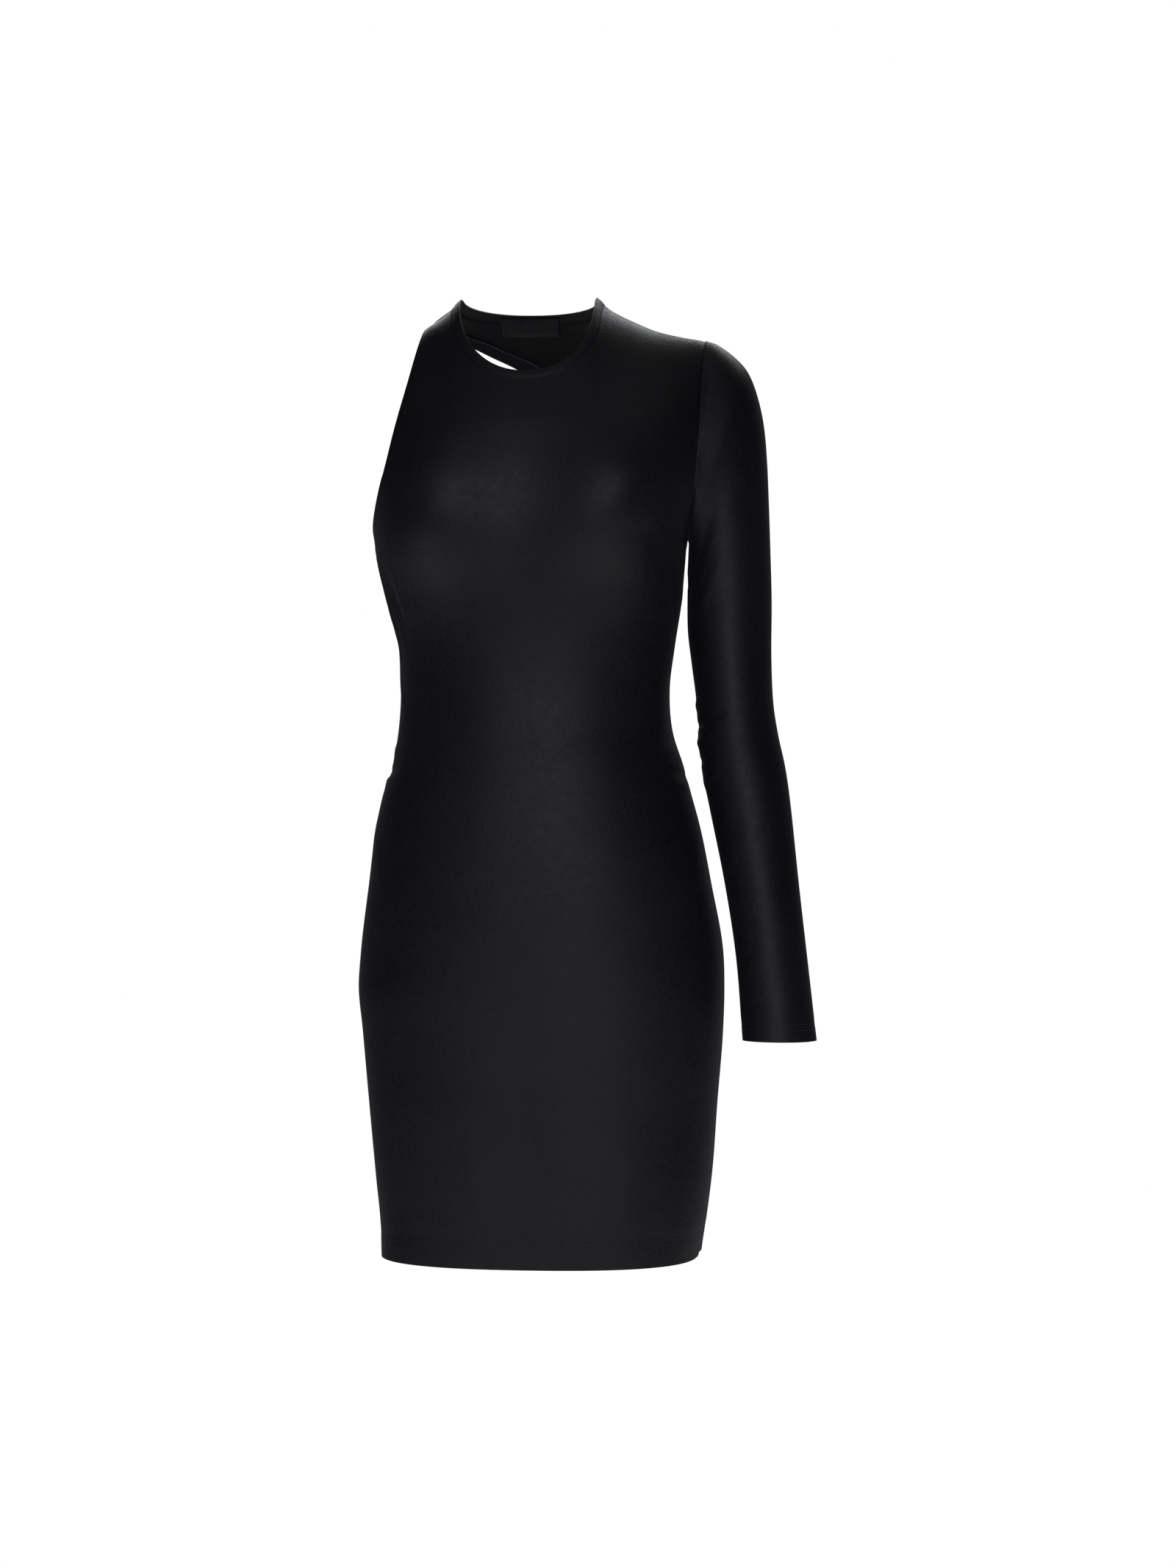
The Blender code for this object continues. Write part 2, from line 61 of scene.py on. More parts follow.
SLEEVE_TUCK = 0.0030
SLEEVE_TUCK_DEPTH = 0.0021
TURNED_HEM_WALL = 0.0009
LABEL_WALL = 0.0006

# Driving heights and widths
HEM = -0.8145
HEM_DIP = 0.0030
ARMPIT = -0.2085
BLOCK_TOP = -0.2450
STRAP_END = -0.0885
SHOULDER_END = 0.1515
SHOULDER_ROUND = 0.140
NECK_HALF_WIDTH = 0.0585
NECK_FRONT_DROP = 0.0700
NECK_BACK_DROP = 0.0085
NECK_SHIFT = 0.0060
NECK_SQUARE = 2.2
BAND_WIDTH = 0.0065
TURNED_HEM = 0.0140

# Bust fullness: its two places, how far it stands forward, how fast it fades, and its hold near the sides
BUST_SPREAD = 0.088
BUST_HEIGHT = -0.185
BUST_FORWARD = 0.020
BUST_FADE_ACROSS = 0.056
BUST_FADE_UP = 0.070
BUST_FADE_DOWN = 0.055
BUST_TO_SIDE = 1.4

# The label inside the back neck: its place, its mesh, its relief, and its two rows of stitches
LABEL_MIDDLE = -0.0055
LABEL_WIDTH = 0.050
LABEL_HEIGHT = 0.0145
LABEL_TOP = -0.0105
LABEL_INSET = 0.0026
LABEL_ROWS = 13
LABEL_COLUMNS = 41
LABEL_LIFT = 0.0008
LABEL_PUFF = 0.0005
LABEL_FOLD = 0.0003
LABEL_FOLD_START = 0.86
LABEL_STITCH_SINK = 0.0003
LABEL_STITCH_COLUMNS = (2, -3)

# Cells of the meshes
LOWER_ROWS = 150
BLOCK_ROWS = 150
UPPER_ROWS = 64
BARE_CELLS = 30
STRAP_CELLS = 10
NECK_CELLS = 54
BACK_NECK_CELLS = 46
SHOULDER_CELLS = 24
ARMHOLE_CELLS = 40
SIDE_CELLS = 8
STRIP_CELLS = 26
TURNED_ROWS = 6
BAND_ROWS = 6
SLEEVE_RINGS = 240
COLUMNS = BARE_CELLS + STRAP_CELLS + NECK_CELLS + SHOULDER_CELLS + ARMHOLE_CELLS
DENSE = 400
CAP_RINGS = 7

# Sections of the body form: height, reach of the right side and of the left side from the origin's plane,
# depth of the front and of the back, and squareness of the section (2 is an ellipse)
BODY = (
    (-0.8400, 0.1220, 0.1440, 0.1040, 0.1050, 3.4),
    (-0.8145, 0.1232, 0.1460, 0.1040, 0.1050, 3.4),
    (-0.7881, 0.1243, 0.1501, 0.1035, 0.1055, 3.3),
    (-0.7505, 0.1287, 0.1551, 0.1030, 0.1070, 3.1),
    (-0.6876, 0.1356, 0.1601, 0.1030, 0.1110, 2.8),
    (-0.6249, 0.1419, 0.1652, 0.1035, 0.1155, 2.6),
    (-0.5872, 0.1457, 0.1664, 0.1040, 0.1175, 2.5),
    (-0.5621, 0.1444, 0.1658, 0.1040, 0.1175, 2.4),
    (-0.4993, 0.1369, 0.1551, 0.1030, 0.1110, 2.4),
    (-0.4491, 0.1306, 0.1451, 0.1000, 0.1010, 2.3),
    (-0.4239, 0.1250, 0.1382, 0.0975, 0.0950, 2.3),
    (-0.3988, 0.1168, 0.1313, 0.0940, 0.0890, 2.3),
    (-0.3737, 0.1124, 0.1231, 0.0895, 0.0835, 2.3),
    (-0.3360, 0.1099, 0.1199, 0.0860, 0.0790, 2.3),
    (-0.2983, 0.1118, 0.1243, 0.0880, 0.0800, 2.3),
    (-0.2606, 0.1199, 0.1300, 0.0935, 0.0840, 2.4),
    (-0.2230, 0.1294, 0.1335, 0.0990, 0.0880, 2.5),
    (-0.2085, 0.1315, 0.1355, 0.1005, 0.0895, 2.5),
    (-0.1850, 0.1350, 0.1450, 0.1010, 0.0910, 2.5),
    (-0.1600, 0.1400, 0.1550, 0.1000, 0.0920, 2.5),
    (-0.1200, 0.1450, 0.1640, 0.0930, 0.0920, 2.4),
    (-0.0700, 0.1480, 0.1700, 0.0790, 0.0860, 2.3),
    (-0.0300, 0.1500, 0.1720, 0.0720, 0.0780, 2.3),
    (0.0250, 0.1500, 0.1720, 0.0650, 0.0680, 2.3),
)

# Ridge line of the shoulders: place across, height
SHOULDER = (
    (-0.1700, -0.0760),
    (-0.1200, -0.0440),
    (-0.0950, -0.0290),
    (-0.0860, -0.0225),
    (-0.0754, -0.0157),
    (-0.0678, -0.0094),
    (-0.0585, 0.0000),
    (-0.0450, 0.0095),
    (-0.0250, 0.0180),
    (0.0000, 0.0210),
    (0.0250, 0.0180),
    (0.0450, 0.0095),
    (0.0585, 0.0000),
    (0.0685, -0.0094),
    (0.0791, -0.0157),
    (0.0923, -0.0220),
    (0.1068, -0.0283),
    (0.1306, -0.0345),
    (0.1515, -0.0383),
    (0.1750, -0.0450),
)

# Front edge of the sleeveless armhole: height, place across
BARE_ARMHOLE = (
    (-0.2085, -0.1315),
    (-0.1991, -0.1293),
    (-0.1879, -0.1253),
    (-0.1648, -0.1170),
    (-0.1406, -0.1093),
    (-0.1158, -0.1028),
    (-0.0905, -0.0976),
    (-0.0647, -0.0942),
    (-0.0373, -0.0910),
    (-0.0243, -0.0885),
)

# Armhole that the sleeve is set into, front and back alike: height, place across
SLEEVE_ARMHOLE = (
    (-0.2085, 0.1355),
    (-0.1930, 0.1400),
    (-0.1700, 0.1450),
    (-0.1480, 0.1475),
    (-0.1237, 0.1488),
    (-0.0923, 0.1498),
    (-0.0650, 0.1505),
    (-0.0383, 0.1515),
)

# Edge of the cut-away back, from the right side seam up to the strap: place across, height
CUT_OUT = (
    (-0.1315, -0.2085),
    (-0.1050, -0.2190),
    (-0.0700, -0.2180),
    (-0.0300, -0.2050),
    (0.0050, -0.1800),
    (0.0280, -0.1480),
    (0.0340, -0.1150),
    (0.0220, -0.0850),
    (0.0000, -0.0635),
    (-0.0204, -0.0514),
    (-0.0400, -0.0425),
    (-0.0580, -0.0345),
    (-0.0750, -0.0290),
    (-0.0885, -0.0243),
)

# Share of the cut-out edge that each stretch of the back's outer edge faces
CUT_OUT_SHARES = (0.0, 0.52, 0.56, 0.68, 0.76, 1.0)

# Rings of the sleeve: outer point (across, height), inner point (across, height), middle depth, half depth
SLEEVE = (
    (0.1515, -0.0383, 0.1355, -0.2085, 0.0000, 0.0470),
    (0.1620, -0.0425, 0.1357, -0.2130, 0.0000, 0.0472),
    (0.1765, -0.0534, 0.1360, -0.2175, 0.0005, 0.0472),
    (0.1871, -0.0659, 0.1360, -0.2220, 0.0010, 0.0468),
    (0.1947, -0.0848, 0.1360, -0.2270, 0.0020, 0.0460),
    (0.2003, -0.1100, 0.1358, -0.2330, 0.0030, 0.0450),
    (0.2030, -0.1400, 0.1355, -0.2410, 0.0035, 0.0438),
    (0.2045, -0.1750, 0.1352, -0.2510, 0.0040, 0.0424),
    (0.2058, -0.2150, 0.1350, -0.2660, 0.0040, 0.0410),
    (0.2070, -0.2600, 0.1356, -0.2880, 0.0035, 0.0395),
    (0.2068, -0.3050, 0.1390, -0.3150, 0.0020, 0.0380),
    (0.2085, -0.3450, 0.1430, -0.3450, -0.0010, 0.0366),
    (0.2129, -0.3737, 0.1446, -0.3720, -0.0040, 0.0360),
    (0.2192, -0.4020, 0.1475, -0.4000, -0.0075, 0.0356),
    (0.2242, -0.4365, 0.1551, -0.4365, -0.0115, 0.0348),
    (0.2311, -0.4993, 0.1683, -0.4993, -0.0190, 0.0326),
    (0.2386, -0.5621, 0.1784, -0.5621, -0.0265, 0.0308),
    (0.2468, -0.6305, 0.1843, -0.6305, -0.0347, 0.0301),
)

FRONT = -1
BACK = 1


# Folds of the body: face (-1 front, 1 back), turn and height of one end, turn and height of the other, bow,
# half width and rise in millimetres. A rise below zero is a trough.
BODY_FOLDS = (
    (-1, -84, -0.2160, -74, -0.3120, 2.0, 4.0, 2.0),
    (-1, -78, -0.2200, -70, -0.2960, 3.0, 3.2, -2.2),
    (-1, -72, -0.2240, -66, -0.3020, 2.0, 3.4, 2.0),
    (-1, -66, -0.2330, -61, -0.2850, 2.5, 3.2, -1.7),
    (-1, -60, -0.2380, -56, -0.2780, 2.0, 3.4, 1.3),
    (-1, -86, -0.3000, -66, -0.3560, 4.0, 6.0, 0.9),
    (-1, -90, -0.4060, -64, -0.4010, 1.5, 3.2, -1.8),
    (-1, -90, -0.4150, -70, -0.4140, -1.5, 3.6, 1.0),
    (-1, -88, -0.3880, -72, -0.3830, 1.5, 4.4, 0.9),
    (-1, 66, -0.4020, 90, -0.4090, 1.5, 3.2, -1.7),
    (-1, 72, -0.4180, 90, -0.4200, -1.0, 3.6, 1.0),
    (-1, 70, -0.3850, 90, -0.3900, 1.5, 4.2, 0.8),
    (-1, 58, -0.1700, 84, -0.2150, -5.0, 6.5, -1.7),
    (-1, 52, -0.1950, 80, -0.2480, -5.0, 7.0, 1.2),
    (-1, 64, -0.2350, 84, -0.2900, -3.0, 5.0, -1.0),
    (-1, -50, -0.1500, -78, -0.2020, 4.0, 6.0, 0.9),
    (-1, -30, -0.3300, -74, -0.3420, 3.0, 8.0, 0.5),
    (-1, 30, -0.3420, 76, -0.3540, 3.0, 8.0, 0.5),
    (-1, -58, -0.5050, -86, -0.4480, 4.0, 9.0, 0.7),
    (-1, 60, -0.5150, 86, -0.4560, -4.0, 9.0, 0.7),
    (-1, 8, -0.6600, 14, -0.7900, 4.0, 14.0, 0.8),
    (-1, -24, -0.6900, -20, -0.8000, -3.0, 12.0, 0.6),
    (-1, 34, -0.7050, 38, -0.8050, 3.0, 11.0, 0.6),
    (1, -84, -0.2200, -72, -0.3060, 2.0, 4.4, 1.4),
    (1, -78, -0.2260, -67, -0.2860, 3.0, 3.8, -1.4),
    (1, -71, -0.2300, -62, -0.2900, 2.0, 4.2, 1.1),
    (1, -56, -0.2340, -44, -0.2720, 3.0, 5.5, -0.8),
    (1, -60, -0.3360, 18, -0.3440, -4.0, 5.0, 1.1),
    (1, -34, -0.3560, 52, -0.3620, -5.0, 5.4, 1.3),
    (1, -66, -0.3660, -2, -0.3760, -3.0, 4.8, 0.9),
    (1, 14, -0.3780, 70, -0.3860, -3.0, 5.2, 1.0),
    (1, -44, -0.3260, 36, -0.3230, -4.0, 6.0, -0.7),
    (1, -90, -0.4070, -62, -0.4020, 1.5, 3.4, -1.6),
    (1, 64, -0.4040, 90, -0.4090, 1.5, 3.4, -1.6),
    (1, 60, -0.1750, 86, -0.2180, -4.0, 6.5, -1.5),
    (1, 50, -0.2000, 82, -0.2560, -5.0, 7.0, 1.2),
    (1, -40, -0.6200, -62, -0.5750, 5.0, 9.0, 0.9),
    (1, 42, -0.6260, 64, -0.5800, -5.0, 9.0, 0.9),
    (1, -6, -0.6600, -10, -0.7900, 3.0, 13.0, 0.7),
    (1, 28, -0.6900, 32, -0.8000, 3.0, 12.0, 0.6),
)

# Folds of the sleeve: turn round the arm (0 outside, 90 front, 180 inside) and height of each end, bow,
# half width and rise in millimetres
SLEEVE_FOLDS = (
    (118, -0.1500, 172, -0.2350, 3.0, 5.0, 1.5),
    (104, -0.1800, 160, -0.2600, 3.0, 5.0, -1.3),
    (92, -0.2200, 150, -0.2850, 3.0, 5.5, 1.0),
    (242, -0.1560, 190, -0.2380, -3.0, 5.0, 1.5),
    (256, -0.1860, 202, -0.2640, -3.0, 5.0, -1.3),
    (120, -0.3380, 196, -0.3520, 2.0, 3.8, 1.3),
    (108, -0.3560, 204, -0.3680, 2.5, 3.4, -1.5),
    (116, -0.3720, 214, -0.3840, 2.0, 3.8, 1.4),
    (132, -0.3900, 206, -0.3980, 2.0, 3.6, -1.1),
    (124, -0.4060, 188, -0.4160, 2.0, 4.4, 0.9),
    (60, -0.4360, 128, -0.4700, 3.0, 6.0, 0.7),
    (230, -0.4300, 280, -0.4760, -3.0, 6.0, 0.8),
    (84, -0.5560, 150, -0.5720, 2.0, 4.5, 0.7),
    (196, -0.5700, 268, -0.5860, 2.0, 4.6, 0.7),
    (70, -0.5900, 140, -0.5990, 2.0, 3.8, -0.6),
    (14, -0.0760, 44, -0.1150, 2.0, 6.0, 0.6),
    (330, -0.0800, 312, -0.1250, 2.0, 6.0, 0.6),
)

# Radii that turns are measured on, and the share of a fold's rise that is left at its ends
BODY_ROUND = 0.125
SLEEVE_ROUND = 0.036
FOLD_END_SHARE = 0.35
MM = 0.001

# Hems and seams: heights of the stitch rows above the edge, and the relief that they leave
SKIRT_HEM_ROWS = (0.0185, 0.0223)
CUFF_ROWS = (0.0113, 0.0151)
CUT_OUT_ROWS = (0.0108, 0.0132)
HEM_EXTRA = 0.7
HEM_RELIEF = 0.00022
HEM_RELIEF_WIDTH = 0.0011
SEAM_DIP = 0.0007
SEAM_DIP_WIDTH = 0.0022

# The sleeve's relief at its head: the run over which it grows, and the share that it starts from
SLEEVE_HEAD_RUN = 0.004
SLEEVE_HEAD_SHARE = 0.15

# Stitches: length, gap between two, thickness
STITCH = (0.0024, 0.0007, 0.00042)
LABEL_STITCH = (0.0014, 0.0008, 0.00034)
STITCH_SIDES = 5
STITCH_FLATNESS = 0.7
STITCH_LIFT = 0.4

# Rings of one stitch: place along it, share of its thickness, share of its lift
STITCH_RINGS = ((0.0, 0.25, 0.1), (0.2, 0.9, 0.45), (0.5, 1.0, 0.6), (0.8, 0.9, 0.45), (1.0, 0.25, 0.1))

# Cells left out at each end of the cut-out's turned hem, of its stitch rows, and of the skirt's
TURNED_TRIM = 2
CUT_OUT_TRIM = 3
SKIRT_TRIM = 2

# Knit of the jersey and weave of the label: distance between columns and between rows
WALE = 0.0011
COURSE = 0.0009
LABEL_WARP = 0.0007
LABEL_WEFT = 0.0005

# Unevenness of the cloth and threads: scale of each noise, and distance and strength of each bump
PATCH_SCALE = 14.0
MOTTLE_SCALE = 160.0
YARN_SCALE = 480.0
PLY_SCALE = 2600.0
SHADE_RANGE = (0.40, 0.60)
ROUGHNESS_SPREAD = 0.06
KNIT_BUMP = (0.00004, 0.35)
YARN_BUMP = (0.00045, 0.40)
MOTTLE_BUMP = (0.0006, 0.12)
PLY_BUMP = (0.0001, 0.5)

# Camera and studio
CAMERA_TARGET = (0.0502, 0.0, -0.4155)
CAMERA_DISTANCE = 3.0
CAMERA_TURN = 6.0
FRAME_HEIGHT = 1.3395
FLOOR = -1.45
FLOOR_SIZE = 2.8
FLOOR_GLOW = 0.66
WORLD_LIGHT = 0.03

# Lights: name, place, point aimed at, width and height, power in watts, tint
LIGHTS = (
    ("key", (0.25, -3.4, 0.45), (0.03, 0.0, -0.42), (1.2, 1.8), 21.0, (0.93, 0.90, 1.0)),
    ("fill", (-2.6, -2.2, 0.3), (0.0, 0.0, -0.4), (1.2, 1.6), 0.8, (0.92, 0.95, 1.0)),
    ("top", (0.1, -0.4, 2.4), (0.0, 0.0, -0.2), (1.6, 1.6), 2.5, (0.96, 0.98, 1.0)),
    ("rear_left", (0.9, 2.3, 2.3), (0.0, 0.0, -0.4), (1.2, 1.2), 32.0, (0.96, 0.98, 1.0)),
    ("rear_right", (-1.1, 2.6, 1.5), (0.0, 0.0, -0.4), (0.9, 0.9), 18.0, (0.96, 0.98, 1.0)),
)


def smooth(keys, values, at):
    """A cubic through the values at the keys, with slopes taken from the neighbours."""
    keys = np.asarray(keys, float)
    values = np.asarray(values, float)
    at = np.asarray(at, float)
    slopes = np.gradient(values, keys)
    place = np.clip(np.searchsorted(keys, at) - 1, 0, len(keys) - 2)
    span = keys[place + 1] - keys[place]
    part = np.clip((at - keys[place]) / span, 0.0, 1.0)
    start = (1 + 2 * part) * (1 - part) ** 2 * values[place]
    start += part * (1 - part) ** 2 * span * slopes[place]
    end = part**2 * (3 - 2 * part) * values[place + 1]
    end += part**2 * (part - 1) * span * slopes[place + 1]
    return start + end


def column(table, index):
    return [row[index] for row in table]


def body(height, index):
    return smooth(column(BODY, 0), column(BODY, index), height)


def middle_and_half(height):
    right = body(height, 1)
    left = body(height, 2)
    return (left - right) / 2, (left + right) / 2


def shoulder(across):
    return smooth(column(SHOULDER, 0), column(SHOULDER, 1), across)


def turn_of(across, height):
    middle, half = middle_and_half(height)
    return np.arcsin(np.clip((across - middle) / half, -1.0, 1.0))


def bust(across, height):
    """How far the fullness of the bust stands forward of the plain form."""
    middle, _ = middle_and_half(height)
    right = (across - middle + BUST_SPREAD) / BUST_FADE_ACROSS
    left = (across - middle - BUST_SPREAD) / BUST_FADE_ACROSS
    fade = np.where(height > BUST_HEIGHT, BUST_FADE_UP, BUST_FADE_DOWN)
    both = np.exp(-(right**2)) + np.exp(-(left**2))
    return BUST_FORWARD * both * np.exp(-(((height - BUST_HEIGHT) / fade) ** 2))


def depth(across, height, face):
    """How far the form stands out from the plane of the seams, to the front or to the back."""
    middle, half = middle_and_half(height)
    part = np.clip(np.abs(across - middle) / half, 0.0, 1.0)
    square = body(height, 5)
    arch = np.maximum(1 - part**square, 0.0) ** (1 / square)
    drop = np.clip(shoulder(across) - height, 0.0, SHOULDER_ROUND) / SHOULDER_ROUND
    rounded = np.sqrt(np.maximum(1 - (1 - drop) ** 2, 0.0))
    deep = body(height, 3 if face == FRONT else 4) * arch
    if face == FRONT:
        deep = deep + bust(across, height) * np.minimum(1.0, BUST_TO_SIDE * arch)
    return deep * rounded


def surface(turn, height, face, gap=SEAM_GAP / 2):
    """Points of the form's outer side. A panel keeps half a seam gap to the plane of the side seams."""
    turn = np.asarray(turn, float)
    height = np.asarray(height, float) + 0 * turn
    middle, half = middle_and_half(height)
    across = middle + half * np.sin(turn)
    return np.stack([across, face * (depth(across, height, face) + gap), height], axis=-1)


def outward(points, face):
    """Outward normals at points of the form, from the slope of its depth squared, which is smooth at the
    seams too."""
    across = points[..., 0]
    height = points[..., 2]
    slope_across = depth(across + SLOPE_STEP, height, face) ** 2
    slope_across = slope_across - depth(across - SLOPE_STEP, height, face) ** 2
    slope_up = depth(across, height + SLOPE_STEP, face) ** 2
    slope_up = slope_up - depth(across, height - SLOPE_STEP, face) ** 2
    deep = depth(across, height, face)
    normals = np.stack([-slope_across, 4 * SLOPE_STEP * face * deep, -slope_up], axis=-1)
    length = np.linalg.norm(normals, axis=-1, keepdims=True)
    return normals / np.maximum(length, TINY)


def eased(count=DENSE):
    """Fractions from 0 to 1, closest at both ends."""
    return (1 - np.cos(np.linspace(0.0, math.pi, count + 1))) / 2


def run_along(points):
    """Length from the first point of a line to each of its points."""
    steps = np.linalg.norm(np.diff(points, axis=0), axis=1)
    return np.concatenate([[0.0], np.cumsum(steps)])


def resample_domain(turns, heights, face, cells):
    """Turns and heights at equal steps along the line that they draw on the form."""
    run = run_along(surface(turns, heights, face))
    wanted = np.linspace(0.0, run[-1], cells + 1)
    return np.interp(wanted, run, turns), np.interp(wanted, run, heights)


def level_row(height, face):
    """The turns of one level section, from the right side seam to the left."""
    turns = (2 * eased() - 1) * math.pi / 2
    return resample_domain(turns, np.full(turns.shape, height), face, COLUMNS)[0]


def neck_line(face, widening, cells):
    """Turns and heights of a line round the neck from the right shoulder to the left, widening out from
    the edge of the neck."""
    sweep = math.pi * (1 - eased())
    bend = 2 / NECK_SQUARE
    width = NECK_HALF_WIDTH + widening
    drop = (NECK_FRONT_DROP if face == FRONT else NECK_BACK_DROP) + widening
    shift = NECK_SHIFT if face == FRONT else 0.0
    cosine = np.cos(sweep)
    sine = np.clip(np.sin(sweep), 0.0, 1.0)
    across = width * np.sign(cosine) * np.abs(cosine) ** bend + shift * sine
    top = shoulder(across[0]) * (1 - sine**bend)
    heights = top - drop * sine**bend
    return resample_domain(turn_of(across, heights), heights, face, cells)


def shoulder_line(start, end, cells):
    across = np.linspace(start, end, cells + 1)
    heights = shoulder(across)
    return turn_of(across, heights), heights


def armhole_line(table, face, cells):
    """Turns and heights up an armhole edge, from the armpit to the shoulder."""
    heights = table[0][0] + (table[-1][0] - table[0][0]) * eased()
    across = smooth(column(table, 0), column(table, 1), heights)
    heights[-1] = shoulder(across[-1])
    turns = turn_of(across, heights)
    turns[0] = math.copysign(math.pi / 2, turns[0])
    return resample_domain(turns, heights, face, cells)


def joined(*lines):
    """Lines of turns and heights, end to end."""
    turns = [lines[0][0]] + [line[0][1:] for line in lines[1:]]
    heights = [lines[0][1]] + [line[1][1:] for line in lines[1:]]
    return np.concatenate(turns), np.concatenate(heights)


def tube_normals(grid):
    """Normals at the points of a tube's rings."""
    along = np.roll(grid, -1, axis=1) - np.roll(grid, 1, axis=1)
    up = np.gradient(grid, axis=0)
    normals = np.cross(along, up)
    length = np.linalg.norm(normals, axis=-1, keepdims=True)
    return normals / np.maximum(length, TINY)


def boundary_of(quads):
    """The edges that only one cell uses."""
    used = {}
    for quad in quads:
        for start, end in zip(quad, quad[1:] + quad[:1]):
            key = (min(start, end), max(start, end))
            used.setdefault(key, []).append((start, end))
    return [edges[0] for edges in used.values() if len(edges) == 1]


def grid_cells(rows, columns, wrap=False, first=0):
    cells = []
    for row in range(rows - 1):
        for col in range(columns if wrap else columns - 1):
            here = first + row * columns + col
            beside = first + row * columns + (col + 1) % columns
            cells.append([here, beside, beside + columns, here + columns])
    return cells


def hem_points(turns, face):
    heights = HEM - HEM_DIP * np.cos(turns) ** 2 * (face == FRONT)
    return surface(turns, heights, face)


def turned_round(line):
    return line[0][::-1], line[1][::-1]


def front_grid():
    """Rows of the front panel, from the hem up to the armholes, the strap, the neck and the shoulder."""
    rows = [hem_points(level_row(HEM, FRONT), FRONT)]
    for height in np.linspace(HEM, BLOCK_TOP, LOWER_ROWS + 1)[1:]:
        rows.append(surface(level_row(height, FRONT), height, FRONT))
    low_turns = level_row(BLOCK_TOP, FRONT)
    neck_edge = BAND_WIDTH + NECK_GAP
    neck_side = NECK_HALF_WIDTH + neck_edge
    top_turns, top_heights = joined(
        armhole_line(BARE_ARMHOLE, FRONT, BARE_CELLS),
        shoulder_line(STRAP_END, -neck_side, STRAP_CELLS),
        neck_line(FRONT, neck_edge, NECK_CELLS),
        shoulder_line(neck_side, SHOULDER_END, SHOULDER_CELLS),
        turned_round(armhole_line(SLEEVE_ARMHOLE, FRONT, ARMHOLE_CELLS)),
    )
    rise = eased()
    upper = np.zeros((UPPER_ROWS + 1, COLUMNS + 1, 3))
    for col in range(COLUMNS + 1):
        turns = low_turns[col] * (1 - rise) + top_turns[col] * rise
        heights = BLOCK_TOP * (1 - rise) + top_heights[col] * rise
        upper[:, col] = surface(*resample_domain(turns, heights, FRONT, UPPER_ROWS), FRONT)
    return np.concatenate([np.stack(rows), upper[1:]])


def cut_out_line(cells_of_stretches):
    """Turns and heights along the edge of the cut-away back, its points shared out by stretch."""
    keys = np.arange(len(CUT_OUT))
    dense = (len(CUT_OUT) - 1) * eased(4 * DENSE)
    across = smooth(keys, column(CUT_OUT, 0), dense)
    heights = smooth(keys, column(CUT_OUT, 1), dense)
    heights[-1] = shoulder(across[-1])
    turns = turn_of(across, heights)
    turns[0] = -math.pi / 2
    run = run_along(surface(turns, heights, BACK))
    cell_keys = np.concatenate([[0], np.cumsum(cells_of_stretches)])
    shares = np.interp(np.arange(cell_keys[-1] + 1), cell_keys, CUT_OUT_SHARES)
    wanted = shares * run[-1]
    return np.interp(wanted, run, turns), np.interp(wanted, run, heights)


def back_strip():
    """The upper back as a strip bent round the cut-out. Row 0 is the cut-out edge, and its turned hem ends
    at the row numbered TURNED_ROWS."""
    side_heights = np.linspace(BLOCK_TOP, ARMPIT, SIDE_CELLS + 1)
    side_turns = np.full(side_heights.shape, math.pi / 2)
    neck_edge = BAND_WIDTH + NECK_GAP
    neck_side = NECK_HALF_WIDTH + neck_edge
    outer_turns, outer_heights = joined(
        (level_row(BLOCK_TOP, BACK), np.full(COLUMNS + 1, BLOCK_TOP)),
        (side_turns, side_heights),
        armhole_line(SLEEVE_ARMHOLE, BACK, ARMHOLE_CELLS),
        shoulder_line(SHOULDER_END, neck_side, SHOULDER_CELLS),
        turned_round(neck_line(BACK, neck_edge, BACK_NECK_CELLS)),
    )
    cells = (COLUMNS, SIDE_CELLS, ARMHOLE_CELLS, SHOULDER_CELLS, BACK_NECK_CELLS)
    inner_turns, inner_heights = cut_out_line(cells)
    count = len(outer_turns)
    strip = np.zeros((TURNED_ROWS + STRIP_CELLS + 1, count, 3))
    for col in range(count):
        part = eased()
        turns = inner_turns[col] * (1 - part) + outer_turns[col] * part
        heights = inner_heights[col] * (1 - part) + outer_heights[col] * part
        if col == count - 1:
            turns, heights = shoulder_line(STRAP_END, -neck_side, DENSE)
        run = run_along(surface(turns, heights, BACK))
        rest = np.linspace(TURNED_HEM, run[-1], STRIP_CELLS + 1)
        wanted = np.concatenate([np.linspace(0.0, TURNED_HEM, TURNED_ROWS + 1)[:-1], rest])
        turns = np.interp(wanted, run, turns)
        heights = np.interp(wanted, run, heights)
        strip[:, col] = surface(turns, heights, BACK)
    return strip


def capsule_relief(folds, turns, heights, round_radius):
    """Height of the folds over the form, in metres, at each turn and height."""
    relief = np.zeros(np.shape(heights))
    for turn_a, height_a, turn_b, height_b, bow, half_width, rise in folds:
        start = np.array([math.radians(turn_a) * round_radius, height_a])
        end = np.array([math.radians(turn_b) * round_radius, height_b])
        length = float(np.linalg.norm(end - start))
        along = (end - start) / length
        off_start = turns * round_radius - start[0]
        off_height = heights - start[1]
        part = (off_start * along[0] + off_height * along[1]) / length
        side = off_start * along[1] - off_height * along[0]
        inside = np.clip(part, 0.0, 1.0)
        side = side - bow * MM * 4 * inside * (1 - inside)
        past = (part - inside) * length
        swell = FOLD_END_SHARE + (1 - FOLD_END_SHARE) * np.sin(math.pi * inside) ** 2
        distance = np.sqrt(side**2 + past**2) / (half_width * MM)
        relief += rise * MM * swell * np.exp(-(distance**2))
    return relief


